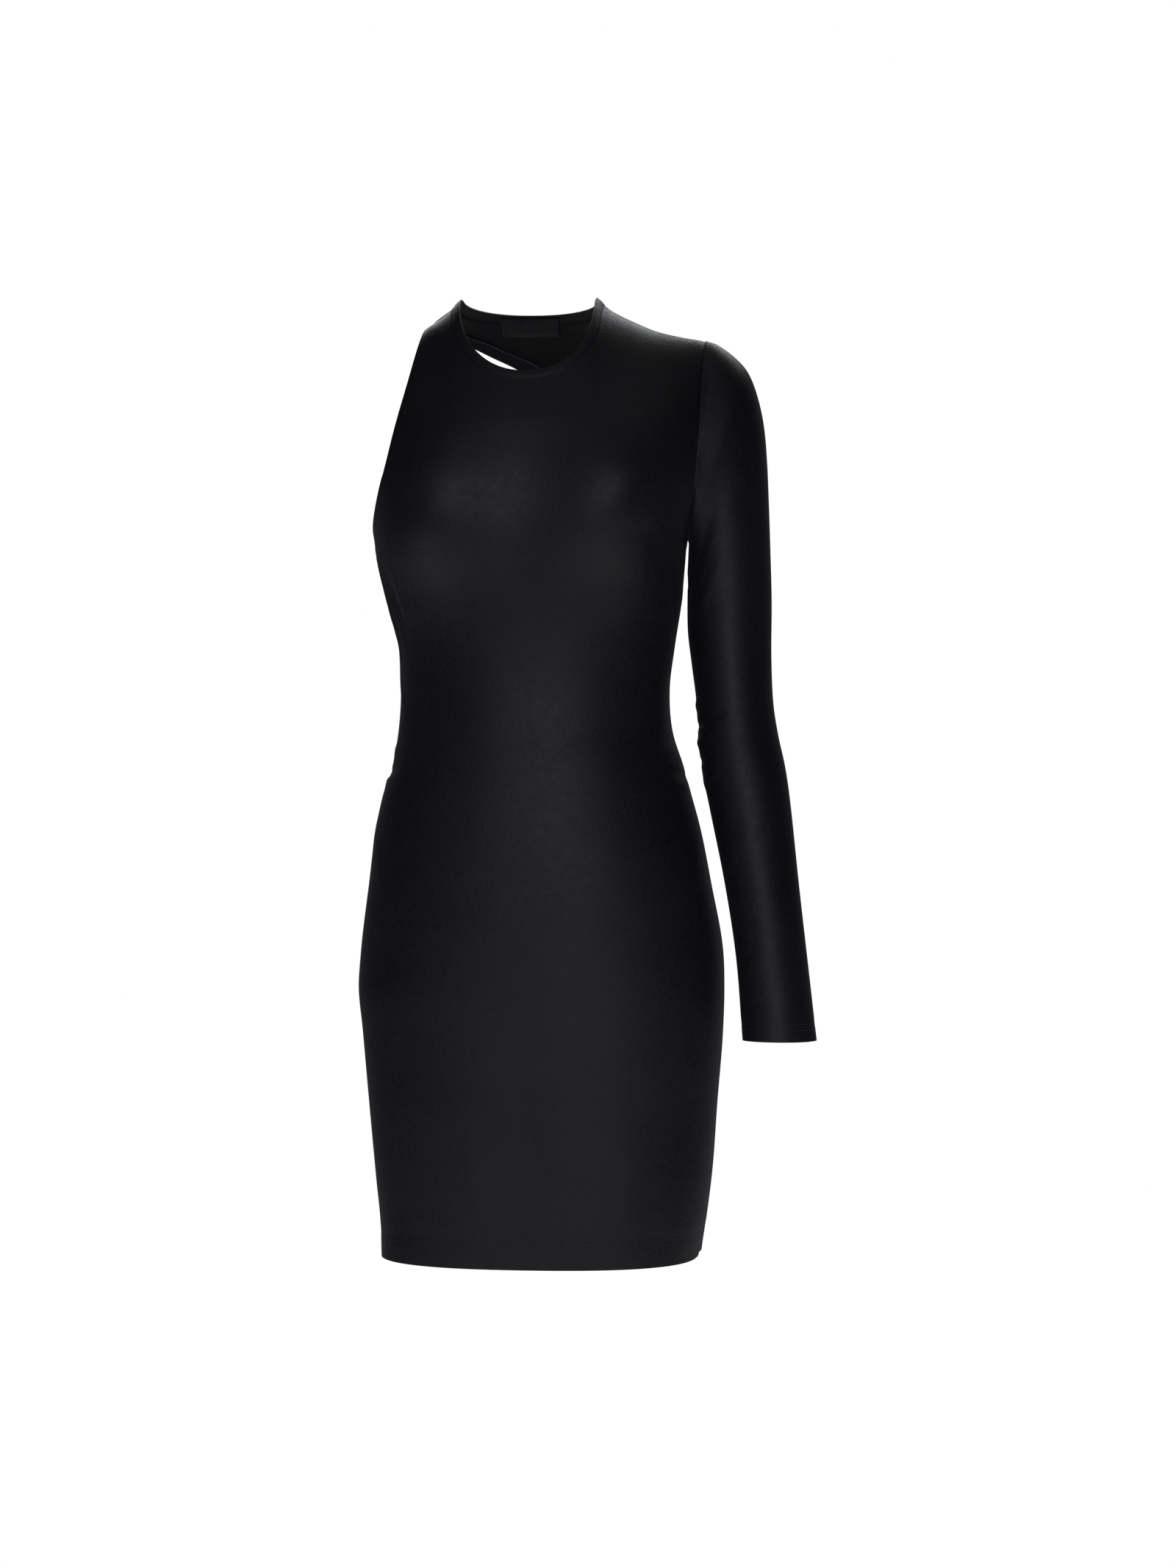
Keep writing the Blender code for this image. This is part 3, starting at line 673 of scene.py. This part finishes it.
def body_relief(points, face):
    """Folds, hem and seam relief at points of the front or the back."""
    heights = points[..., 2]
    turns = turn_of(points[..., 0], heights)
    folds = [fold[1:] for fold in BODY_FOLDS if fold[0] == face]
    relief = capsule_relief(folds, turns, heights, BODY_ROUND)
    above_hem = heights - HEM
    for row in SKIRT_HEM_ROWS:
        relief -= HEM_RELIEF * np.exp(-(((above_hem - row) / HEM_RELIEF_WIDTH) ** 2))
    to_side = (math.pi / 2 - np.abs(turns)) * BODY_ROUND
    relief -= SEAM_DIP * np.exp(-((to_side / SEAM_DIP_WIDTH) ** 2)) * (heights < ARMPIT)
    across = points[..., 0]
    armhole = smooth(column(SLEEVE_ARMHOLE, 0), column(SLEEVE_ARMHOLE, 1), heights)
    to_armhole = np.where(heights > ARMPIT, armhole - across, 1.0)
    relief -= SEAM_DIP * np.exp(-((to_armhole / SEAM_DIP_WIDTH) ** 2))
    to_ridge = shoulder(across) - heights
    relief -= SEAM_DIP * np.exp(-((to_ridge / SEAM_DIP_WIDTH) ** 2))
    return relief


def panel_points(points, face):
    """Outer points of a panel with its relief, and the normals of its form."""
    normals = outward(points, face)
    return points + body_relief(points, face)[..., None] * normals, normals


def shell(name, outer, inner, quads, uv, uv_round, material):
    """One closed wall of cloth. Its texture coordinates are metres round and along the piece."""
    mesh = bpy.data.meshes.new(name)
    count = len(outer)
    faces = [list(quad) for quad in quads]
    faces += [[count + i for i in reversed(quad)] for quad in quads]
    for start, end in boundary_of(quads):
        faces.append([end, start, count + start, count + end])
    points = np.concatenate([outer, inner])
    mesh.from_pydata(points.tolist(), [], faces)
    work = bmesh.new()
    work.from_mesh(mesh)
    bmesh.ops.recalc_face_normals(work, faces=work.faces)
    if work.calc_volume(signed=True) < 0:
        bmesh.ops.reverse_faces(work, faces=work.faces)
    work.to_mesh(mesh)
    work.free()
    indices = np.zeros(len(mesh.loops), np.int32)
    mesh.loops.foreach_get("vertex_index", indices)
    corners = np.concatenate([uv, uv])[indices].reshape(-1, 4, 2)
    if uv_round:
        far = corners[:, :, 0].max(axis=1) - corners[:, :, 0].min(axis=1) > uv_round / 2
        low = corners[:, :, 0] < uv_round / 2
        corners[:, :, 0] += uv_round * (low & far[:, None])
    mesh.uv_layers.new(name="cloth").data.foreach_set("uv", corners.reshape(-1).astype(np.float32))
    mesh.shade_smooth()
    mesh.set_sharp_from_angle(angle=math.radians(60))
    mesh.materials.append(material)
    obj = bpy.data.objects.new(name, mesh)
    bpy.context.scene.collection.objects.link(obj)
    return obj


def body_uv(points):
    turns = turn_of(points[:, 0], points[:, 2])
    return np.stack([turns * BODY_ROUND, points[:, 2]], axis=1)


def below(above_edge, row):
    """1 under a hem's stitch row and 0 over it, with a soft step between."""
    return (1 - np.tanh((above_edge - row) / HEM_RELIEF_WIDTH)) / 2


def doubled(heights):
    """Thickness of a panel: its own, and the turned hem's below the stitches."""
    return WALL * (1 + HEM_EXTRA * below(heights - HEM, SKIRT_HEM_ROWS[1]))


def front_panel(material):
    grid = front_grid()
    quads = grid_cells(*grid.shape[:2])
    flat = grid.reshape(-1, 3)
    outer, normals = panel_points(flat, FRONT)
    inner = outer - doubled(flat[:, 2])[:, None] * normals
    return shell("front", outer, inner, quads, body_uv(flat), 0.0, material)


def back_panel(material):
    rows = [hem_points(level_row(HEM, BACK), BACK)]
    for height in np.linspace(HEM, BLOCK_TOP, BLOCK_ROWS + 1)[1:]:
        rows.append(surface(level_row(height, BACK), height, BACK))
    block = np.stack(rows)
    strip = back_strip()
    strip_rows = strip.shape[0] - 1
    strip_columns = strip.shape[1]
    flat = np.concatenate([block.reshape(-1, 3), strip[:-1].reshape(-1, 3), strip[-1, COLUMNS + 1 :]])
    quads = grid_cells(BLOCK_ROWS + 1, COLUMNS + 1)
    strip_first = (BLOCK_ROWS + 1) * (COLUMNS + 1)
    quads += grid_cells(strip_rows, strip_columns, first=strip_first)
    block_top = BLOCK_ROWS * (COLUMNS + 1)
    tail_first = strip_first + strip_rows * strip_columns
    last_row = [block_top + col for col in range(COLUMNS + 1)]
    last_row += [tail_first + col for col in range(strip_columns - COLUMNS - 1)]
    start = strip_first + (strip_rows - 1) * strip_columns
    for col in range(strip_columns - 1):
        quads.append([start + col, start + col + 1, last_row[col + 1], last_row[col]])
    outer, normals = panel_points(flat, BACK)
    inner = outer - doubled(flat[:, 2])[:, None] * normals
    return shell("back", outer, inner, quads, body_uv(flat), 0.0, material)


def turned_hem(material):
    """The strip folded to the inside along the cut-out, from the back's own points, moved in."""
    strip = back_strip()[: TURNED_ROWS + 1, TURNED_TRIM:-TURNED_TRIM]
    normals = outward(strip, BACK)
    relief = body_relief(strip, BACK)[..., None]
    outer = strip + (relief - WALL - HEM_CLEARANCE) * normals
    inner = outer - TURNED_HEM_WALL * normals
    rows, columns, _ = strip.shape
    quads = grid_cells(rows, columns)
    uv = body_uv(strip.reshape(-1, 3))
    return shell("cut_out_hem", outer.reshape(-1, 3), inner.reshape(-1, 3), quads, uv, 0.0, material)


def sleeve_rings():
    """Rings of the sleeve, from the armhole seam to the cuff, and the turn round the arm at each point."""
    front = surface(*armhole_line(SLEEVE_ARMHOLE, FRONT, ARMHOLE_CELLS), FRONT)[::-1]
    back = surface(*armhole_line(SLEEVE_ARMHOLE, BACK, ARMHOLE_CELLS), BACK)
    seam = np.concatenate([front[:-1], back[:-1]])
    seam[:, 0] += SEAM_GAP
    count = len(seam)
    top = seam[0, 2]
    bottom = seam[count // 2, 2]
    cosines = np.clip((seam[:, 2] - (top + bottom) / 2) / ((top - bottom) / 2), -1.0, 1.0)
    seam_angles = np.arccos(cosines)
    seam_angles = np.where(np.arange(count) > count // 2, 2 * math.pi - seam_angles, seam_angles)
    even_angles = np.arange(count) * 2 * math.pi / count
    keys = np.arange(len(SLEEVE))
    rings = []
    turns = []
    for place in np.linspace(0, len(SLEEVE) - 1, SLEEVE_RINGS + 1):
        row = [float(smooth(keys, column(SLEEVE, i), place)) for i in range(len(SLEEVE[0]))]
        out_x, out_z, in_x, in_z, deep, half = row
        share = min(1.0, place / CAP_RINGS)
        angles = seam_angles * (1 - share) + even_angles * share
        middle = np.array([(out_x + in_x) / 2, deep, (out_z + in_z) / 2])
        outer_way = np.array([(out_x - in_x) / 2, 0.0, (out_z - in_z) / 2])
        forward = np.array([0.0, -half, 0.0])
        ring = middle + np.cos(angles)[:, None] * outer_way + np.sin(angles)[:, None] * forward
        if place == 0:
            off_seam = seam - ring
        ring = ring + off_seam * (1 - share) ** 2
        seam_across = smooth(column(SLEEVE_ARMHOLE, 0), column(SLEEVE_ARMHOLE, 1), ring[:, 2])
        clear = seam_across + SEAM_GAP + SLEEVE_CLEARANCE * min(1.0, place)
        ring[:, 0] = np.maximum(ring[:, 0], clear) if place < CAP_RINGS else ring[:, 0]
        rings.append(ring)
        turns.append(angles)
    return np.stack(rings), np.stack(turns)


def sleeve_points():
    """The sleeve's rings with their relief, the normals, and the texture coordinates."""
    rings, turns = sleeve_rings()
    normals = tube_normals(rings)
    relief = capsule_relief(SLEEVE_FOLDS, turns, rings[..., 2], SLEEVE_ROUND)
    tuck_front = surface(*armhole_line(SLEEVE_ARMHOLE, FRONT, ARMHOLE_CELLS), FRONT)[::-1][:-1]
    tuck_back = surface(*armhole_line(SLEEVE_ARMHOLE, BACK, ARMHOLE_CELLS), BACK)[:-1]
    tuck_normals = np.concatenate([outward(tuck_front, FRONT), outward(tuck_back, BACK)])
    tuck = np.concatenate([tuck_front, tuck_back]) - SLEEVE_TUCK_DEPTH * tuck_normals
    tuck[:, 0] -= SLEEVE_TUCK
    steps = np.linalg.norm(np.diff(rings, axis=0), axis=2).mean(axis=1)
    run = np.concatenate([[0.0], np.cumsum(steps)])
    above_cuff = (run[-1] - run)[:, None]
    for row in CUFF_ROWS:
        relief = relief - HEM_RELIEF * np.exp(-(((above_cuff - row) / HEM_RELIEF_WIDTH) ** 2))
    relief = relief - SEAM_DIP * np.exp(-((run[:, None] / SEAM_DIP_WIDTH) ** 2))
    to_underarm = np.abs(turns - math.pi) * SLEEVE_ROUND
    relief = relief - SEAM_DIP * np.exp(-((to_underarm / SEAM_DIP_WIDTH) ** 2))
    relief = relief * np.clip(run / SLEEVE_HEAD_RUN, SLEEVE_HEAD_SHARE, 1.0)[:, None]
    outer = rings + relief[..., None] * normals
    around = ((turns + math.pi) % (2 * math.pi)) * SLEEVE_ROUND
    uv = np.stack([around, -np.broadcast_to(run[:, None], turns.shape)], axis=-1)
    outer = np.concatenate([tuck[None], outer])
    normals = np.concatenate([tuck_normals[None], normals])
    uv = np.concatenate([uv[:1] + [0.0, SLEEVE_TUCK], uv])
    above_cuff = np.concatenate([above_cuff[:1] + SLEEVE_TUCK, above_cuff])
    return outer, normals, uv, above_cuff


def sleeve(material):
    outer, normals, uv, above_cuff = sleeve_points()
    thickness = WALL * (1 + HEM_EXTRA * below(above_cuff, CUFF_ROWS[1]))
    inner = outer - thickness[..., None] * normals
    rows, columns, _ = outer.shape
    quads = grid_cells(rows, columns, wrap=True)
    return shell(
        "long_sleeve",
        outer.reshape(-1, 3),
        inner.reshape(-1, 3),
        quads,
        uv.reshape(-1, 2),
        2 * math.pi * SLEEVE_ROUND,
        material,
    )


def neckband(material):
    """The narrow folded band round the neck, crowned between its seam and its fold."""
    rows = []
    normals = []
    for step in range(-1, BAND_ROWS + 1):
        part = step / BAND_ROWS
        widening = BAND_WIDTH * (1 - part) if step >= 0 else BAND_WIDTH + BAND_TUCK
        front = surface(*neck_line(FRONT, widening, NECK_CELLS), FRONT, gap=0.0)[:-1]
        back = surface(*neck_line(BACK, widening, BACK_NECK_CELLS), BACK, gap=0.0)[:0:-1]
        way = np.concatenate([outward(front, FRONT), outward(back, BACK)])
        crown = BAND_CROWN * (math.sin(math.pi * part) - BAND_CROWN_SUNK)
        crown = crown if step >= 0 else -BAND_TUCK_DEPTH
        rows.append(np.concatenate([front, back]) + crown * way)
        normals.append(way)
    grid = np.stack(rows)
    parts = np.linspace(0.0, 1.0, BAND_ROWS + 1)
    thickness = BAND_WALL - BAND_CROWN * (1 - np.sin(math.pi * parts))
    thickness = np.concatenate([[TURNED_HEM_WALL], thickness])
    inner = grid - thickness[:, None, None] * np.stack(normals)
    count = grid.shape[1]
    steps = np.linalg.norm(np.diff(np.concatenate([grid[0], grid[0][:1]]), axis=0), axis=1)
    run = np.concatenate([[0.0], np.cumsum(steps)])[:-1]
    along = np.broadcast_to(run[None, :], (BAND_ROWS + 2, count))
    up = np.broadcast_to(np.linspace(-BAND_TUCK, BAND_WIDTH, BAND_ROWS + 2)[:, None], along.shape)
    uv = np.stack([along, up], axis=-1).reshape(-1, 2)
    quads = grid_cells(BAND_ROWS + 2, count, wrap=True)
    outer = grid.reshape(-1, 3)
    return shell("neckline_band", outer, inner.reshape(-1, 3), quads, uv, steps.sum(), material)


def label_grid():
    heights = LABEL_TOP - LABEL_HEIGHT * np.linspace(1.0, 0.0, LABEL_ROWS)
    across = LABEL_MIDDLE + LABEL_WIDTH * np.linspace(-0.5, 0.5, LABEL_COLUMNS)
    grid = np.stack([surface(turn_of(across, height), height, BACK) for height in heights])
    return grid, outward(grid, BACK)


def neck_label(material):
    """The bare woven label, its ends folded under and a little puffed between its stitches."""
    grid, normals = label_grid()
    across = np.linspace(-1.0, 1.0, grid.shape[1])
    up = np.linspace(-1.0, 1.0, grid.shape[0])
    puff = LABEL_PUFF * np.outer(1 - up**4, 1 - np.abs(across) ** 6)
    fold = LABEL_FOLD * (np.abs(across) > LABEL_FOLD_START)
    outer = grid - (LABEL_INSET - LABEL_LIFT) * normals
    inner = outer - (LABEL_WALL + puff + fold[None, :])[..., None] * normals
    uv = np.stack(np.meshgrid(across * LABEL_WIDTH / 2, up * LABEL_HEIGHT / 2), axis=-1)
    quads = grid_cells(grid.shape[0], grid.shape[1])
    outer = outer.reshape(-1, 3)
    return shell("label_bare", outer, inner.reshape(-1, 3), quads, uv.reshape(-1, 2), 0.0, material)


def stitch_row(points, normals, sizes, closed):
    """Short rounded threads along a line, each lying on the cloth. Gives points and faces."""
    length, gap, thick = sizes
    if closed:
        points = np.concatenate([points, points[:1]])
        normals = np.concatenate([normals, normals[:1]])
    run = run_along(points)
    count = int(run[-1] // (length + gap))
    starts = np.arange(count) * run[-1] / count

    def at(place, values):
        return np.stack([np.interp(place, run, values[:, i]) for i in range(3)], axis=-1)

    verts = []
    faces = []
    for start in starts:
        begin = at(start, points)
        way = at(start + length, points) - begin
        up = at(start, normals)
        side = np.cross(way, up)
        side /= max(np.linalg.norm(side), TINY)
        up = np.cross(side, way)
        up /= max(np.linalg.norm(up), TINY)
        first = len(verts)
        for part, swell, lift in STITCH_RINGS:
            centre = begin + part * way + lift * thick * STITCH_LIFT * up
            for i in range(STITCH_SIDES):
                angle = 2 * math.pi * i / STITCH_SIDES
                ring = math.cos(angle) * side + STITCH_FLATNESS * math.sin(angle) * up
                verts.append(centre + swell * thick / 2 * ring)
        for station in range(len(STITCH_RINGS) - 1):
            for i in range(STITCH_SIDES):
                here = first + station * STITCH_SIDES + i
                beside = first + station * STITCH_SIDES + (i + 1) % STITCH_SIDES
                faces.append([here, beside, beside + STITCH_SIDES, here + STITCH_SIDES])
        faces.append([first + i for i in reversed(range(STITCH_SIDES))])
        last = first + (len(STITCH_RINGS) - 1) * STITCH_SIDES
        faces.append([last + i for i in range(STITCH_SIDES)])
    return verts, faces


def stitches(name, rows, material):
    """One piece of all the threads in the rows: points, normals, sizes and whether each row is closed."""
    verts = []
    faces = []
    for row in rows:
        new_verts, new_faces = stitch_row(*row)
        faces += [[len(verts) + i for i in face] for face in new_faces]
        verts += new_verts
    mesh = bpy.data.meshes.new(name)
    mesh.from_pydata([tuple(vert) for vert in verts], [], faces)
    mesh.shade_smooth()
    mesh.materials.append(material)
    obj = bpy.data.objects.new(name, mesh)
    bpy.context.scene.collection.objects.link(obj)
    return obj


def skirt_stitch_line(height_above, face):
    turns = level_row(HEM, face)[SKIRT_TRIM:-SKIRT_TRIM]
    heights = HEM + height_above - HEM_DIP * np.cos(turns) ** 2 * (face == FRONT)
    return panel_points(surface(turns, heights, face), face)


def cut_out_stitch_line(depth_in, inside):
    """A line beside the cut-out edge, on the back's outer side or on its turned hem's inner side."""
    strip = back_strip()[: TURNED_ROWS + 1, CUT_OUT_TRIM:-CUT_OUT_TRIM]
    steps = np.linalg.norm(np.diff(strip, axis=0), axis=2)
    run = np.concatenate([np.zeros((1, strip.shape[1])), np.cumsum(steps, axis=0)])
    points = np.zeros((strip.shape[1], 3))
    for col in range(strip.shape[1]):
        for axis in range(3):
            points[col, axis] = np.interp(depth_in, run[:, col], strip[:, col, axis])
    line, normals = panel_points(points, BACK)
    if inside:
        return line - (WALL + HEM_CLEARANCE + TURNED_HEM_WALL) * normals, -normals
    return line, normals


def math_node(tree, operation, first, second=None):
    node = tree.nodes.new("ShaderNodeMath")
    node.operation = operation
    for socket, value in zip(node.inputs, (first, second)):
        if isinstance(value, (int, float)):
            socket.default_value = value
        elif value is not None:
            tree.links.new(value, socket)
    return node.outputs[0]


def mean_of(tree, first, second):
    return math_node(tree, "MULTIPLY", math_node(tree, "ADD", first, second), 0.5)


def noise(tree, coordinates, scale, detail=3.0):
    node = tree.nodes.new("ShaderNodeTexNoise")
    node.inputs["Scale"].default_value = scale
    node.inputs["Detail"].default_value = detail
    tree.links.new(coordinates, node.inputs["Vector"])
    return node.outputs["Fac"]


def ranged(tree, value, low, high, low_in=0.3, high_in=0.7):
    node = tree.nodes.new("ShaderNodeMapRange")
    tree.links.new(value, node.inputs["Value"])
    node.inputs["From Min"].default_value = low_in
    node.inputs["From Max"].default_value = high_in
    node.inputs["To Min"].default_value = low
    node.inputs["To Max"].default_value = high
    return node.outputs["Result"]


def blended(tree, factor, dark, light):
    node = tree.nodes.new("ShaderNodeMix")
    node.data_type = "RGBA"
    tree.links.new(factor, node.inputs["Factor"])
    node.inputs["A"].default_value = (*dark, 1.0)
    node.inputs["B"].default_value = (*light, 1.0)
    return node.outputs["Result"]


def bump(tree, height, distance, strength, under=None):
    node = tree.nodes.new("ShaderNodeBump")
    node.inputs["Strength"].default_value = strength
    node.inputs["Distance"].default_value = distance
    tree.links.new(height, node.inputs["Height"])
    if under is not None:
        tree.links.new(under, node.inputs["Normal"])
    return node.outputs["Normal"]


def jersey(name, dark, light, roughness, sheen, wale=WALE, course=COURSE):
    """Fine knit: columns of stitches crossed by rows, an uneven yarn, and a soft satin face."""
    material = bpy.data.materials.new(name)
    material.use_nodes = True
    tree = material.node_tree
    shader = tree.nodes["Principled BSDF"]
    place = tree.nodes.new("ShaderNodeTexCoord")
    axes = tree.nodes.new("ShaderNodeSeparateXYZ")
    tree.links.new(place.outputs["UV"], axes.inputs[0])
    columns_wave = math_node(tree, "SINE", math_node(tree, "MULTIPLY", axes.outputs[0], 2 * math.pi / wale))
    rows_wave = math_node(tree, "SINE", math_node(tree, "MULTIPLY", axes.outputs[1], 2 * math.pi / course))
    knit = math_node(tree, "ADD", columns_wave, math_node(tree, "MULTIPLY", rows_wave, 0.6))
    solid = place.outputs["Object"]
    yarn = noise(tree, solid, YARN_SCALE, 2.0)
    patches = noise(tree, solid, PATCH_SCALE, 4.0)
    mottle = noise(tree, solid, MOTTLE_SCALE, 3.0)
    shade = mean_of(tree, patches, yarn)
    colour = blended(tree, ranged(tree, shade, 0.0, 1.0, *SHADE_RANGE), dark, light)
    tree.links.new(colour, shader.inputs["Base Color"])
    rough = mean_of(tree, mottle, yarn)
    rough = ranged(tree, rough, roughness - ROUGHNESS_SPREAD, roughness + ROUGHNESS_SPREAD)
    tree.links.new(rough, shader.inputs["Roughness"])
    fine = bump(tree, knit, *KNIT_BUMP)
    grain = bump(tree, yarn, *YARN_BUMP, fine)
    soft = bump(tree, mottle, *MOTTLE_BUMP, grain)
    tree.links.new(soft, shader.inputs["Normal"])
    shader.inputs["Metallic"].default_value = 0.0
    shader.inputs["Sheen Weight"].default_value = sheen
    shader.inputs["Sheen Roughness"].default_value = 0.45
    shader.inputs["Sheen Tint"].default_value = (0.80, 0.84, 1.0, 1.0)
    shader.inputs["Specular IOR Level"].default_value = 0.45
    return material


def thread(name, dark, light):
    material = bpy.data.materials.new(name)
    material.use_nodes = True
    tree = material.node_tree
    shader = tree.nodes["Principled BSDF"]
    place = tree.nodes.new("ShaderNodeTexCoord")
    ply = noise(tree, place.outputs["Object"], PLY_SCALE, 2.0)
    tree.links.new(blended(tree, ranged(tree, ply, 0.0, 1.0), dark, light), shader.inputs["Base Color"])
    tree.links.new(ranged(tree, ply, 0.42, 0.62), shader.inputs["Roughness"])
    tree.links.new(bump(tree, ply, *PLY_BUMP), shader.inputs["Normal"])
    shader.inputs["Sheen Weight"].default_value = 0.1
    return material


def pale(name, colour, glow):
    """Plain studio white with a faint unevenness."""
    material = bpy.data.materials.new(name)
    material.use_nodes = True
    tree = material.node_tree
    shader = tree.nodes["Principled BSDF"]
    place = tree.nodes.new("ShaderNodeTexCoord")
    patches = noise(tree, place.outputs["Object"], 3.0, 2.0)
    darker = tuple(0.985 * part for part in colour)
    tree.links.new(blended(tree, patches, darker, colour), shader.inputs["Base Color"])
    shader.inputs["Roughness"].default_value = 0.9
    shader.inputs["Emission Color"].default_value = (*colour, 1.0)
    shader.inputs["Emission Strength"].default_value = glow
    return material


def studio():
    """White surroundings for the camera, dimmer as a light, and a pale floor far below the hem."""
    scene = bpy.context.scene
    scene.view_settings.view_transform = "Standard"
    world = bpy.data.worlds.new("studio_white")
    scene.world = world
    world.use_nodes = True
    tree = world.node_tree
    ground = tree.nodes["Background"]
    path = tree.nodes.new("ShaderNodeLightPath")
    strength = tree.nodes.new("ShaderNodeMapRange")
    tree.links.new(path.outputs["Is Camera Ray"], strength.inputs["Value"])
    strength.inputs["To Min"].default_value = WORLD_LIGHT
    strength.inputs["To Max"].default_value = 1.0
    ground.inputs["Color"].default_value = (1.0, 1.0, 1.0, 1.0)
    tree.links.new(strength.outputs["Result"], ground.inputs["Strength"])
    mesh = bpy.data.meshes.new("floor")
    half = FLOOR_SIZE / 2
    corners = [(-half, -half, FLOOR), (half, -half, FLOOR), (half, half, FLOOR), (-half, half, FLOOR)]
    mesh.from_pydata(corners, [], [(0, 1, 2, 3)])
    mesh.materials.append(pale("floor_white", (0.92, 0.92, 0.92), FLOOR_GLOW))
    floor = bpy.data.objects.new("floor", mesh)
    scene.collection.objects.link(floor)
    for name, place, target, size, power, tint in LIGHTS:
        light = bpy.data.lights.new(name, "AREA")
        light.shape = "RECTANGLE"
        light.size, light.size_y = size
        light.energy = power
        light.color = tint
        obj = bpy.data.objects.new(name, light)
        obj.location = place
        way = mathutils.Vector(target) - mathutils.Vector(place)
        obj.rotation_euler = way.to_track_quat("-Z", "Y").to_euler()
        scene.collection.objects.link(obj)


def camera():
    """The photograph's view: level, six degrees to the wearer's left, from three metres."""
    lens = bpy.data.cameras.new("camera")
    lens.sensor_fit = "AUTO"
    lens.sensor_width = 36.0
    lens.lens = 36.0 * CAMERA_DISTANCE / FRAME_HEIGHT
    obj = bpy.data.objects.new("camera", lens)
    turn = math.radians(CAMERA_TURN)
    across, along, up = CAMERA_TARGET
    obj.location = (across + CAMERA_DISTANCE * math.sin(turn), along - CAMERA_DISTANCE * math.cos(turn), up)
    obj.rotation_euler = (math.pi / 2, 0.0, turn)
    bpy.context.scene.collection.objects.link(obj)
    bpy.context.scene.camera = obj


def dress(piece, node):
    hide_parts(node)
    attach(piece, "root")
    return piece


def trim(piece):
    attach(piece, "root")
    return piece


def main():
    studio()
    camera()
    face_dark = (0.0044, 0.0042, 0.0066)
    face_light = (0.0106, 0.0101, 0.0140)
    body_cloth = jersey("black_jersey", face_dark, face_light, 0.52, 0.05)
    band_cloth = jersey("black_band", face_dark, face_light, 0.57, 0.05)
    label_dark = (0.016, 0.016, 0.019)
    label_light = (0.026, 0.026, 0.030)
    label_cloth = jersey("black_label", label_dark, label_light, 0.50, 0.08, LABEL_WARP, LABEL_WEFT)
    black_thread = thread("black_thread", (0.010, 0.010, 0.012), (0.030, 0.030, 0.034))
    grey_thread = thread("grey_thread", (0.16, 0.16, 0.17), (0.34, 0.34, 0.36))

    front = dress(front_panel(body_cloth), "front_panel")
    back = dress(back_panel(body_cloth), "back_panel")
    arm = dress(sleeve(body_cloth), "sleeve")
    band = dress(neckband(band_cloth), "neckband")
    fold = dress(turned_hem(body_cloth), "cutout_hem")
    label = dress(neck_label(label_cloth), "neck_label")

    front_rows = [(*skirt_stitch_line(row, FRONT), STITCH, False) for row in SKIRT_HEM_ROWS]
    back_rows = [(*skirt_stitch_line(row, BACK), STITCH, False) for row in SKIRT_HEM_ROWS]
    outer_rows = [(*cut_out_stitch_line(row, False), STITCH, False) for row in CUT_OUT_ROWS]
    inner_rows = [(*cut_out_stitch_line(row, True), STITCH, False) for row in CUT_OUT_ROWS[1:]]
    sleeve_grid, sleeve_normals, _, above_cuff = sleeve_points()
    cuff_rows = []
    for row in CUFF_ROWS:
        ring = int(np.argmin(np.abs(above_cuff[:, 0] - row)))
        cuff_rows.append((sleeve_grid[ring], sleeve_normals[ring], STITCH, True))
    label_points, label_normals = label_grid()
    label_rows = []
    for col in LABEL_STITCH_COLUMNS:
        line = label_points[1:-1, col] - (LABEL_INSET + LABEL_STITCH_SINK) * label_normals[1:-1, col]
        label_rows.append((line, -label_normals[1:-1, col], LABEL_STITCH, False))
    hem_front = trim(stitches("hem_stitches_front", front_rows, black_thread))
    hem_back = trim(stitches("hem_stitches_back", back_rows, black_thread))
    cut_outer = trim(stitches("cut_out_stitches", outer_rows, black_thread))
    cut_inner = trim(stitches("cut_out_inner_stitches", inner_rows, grey_thread))
    cuff = trim(stitches("cuff_stitches", cuff_rows, black_thread))
    tack = trim(stitches("label_stitches", label_rows, black_thread))


main()
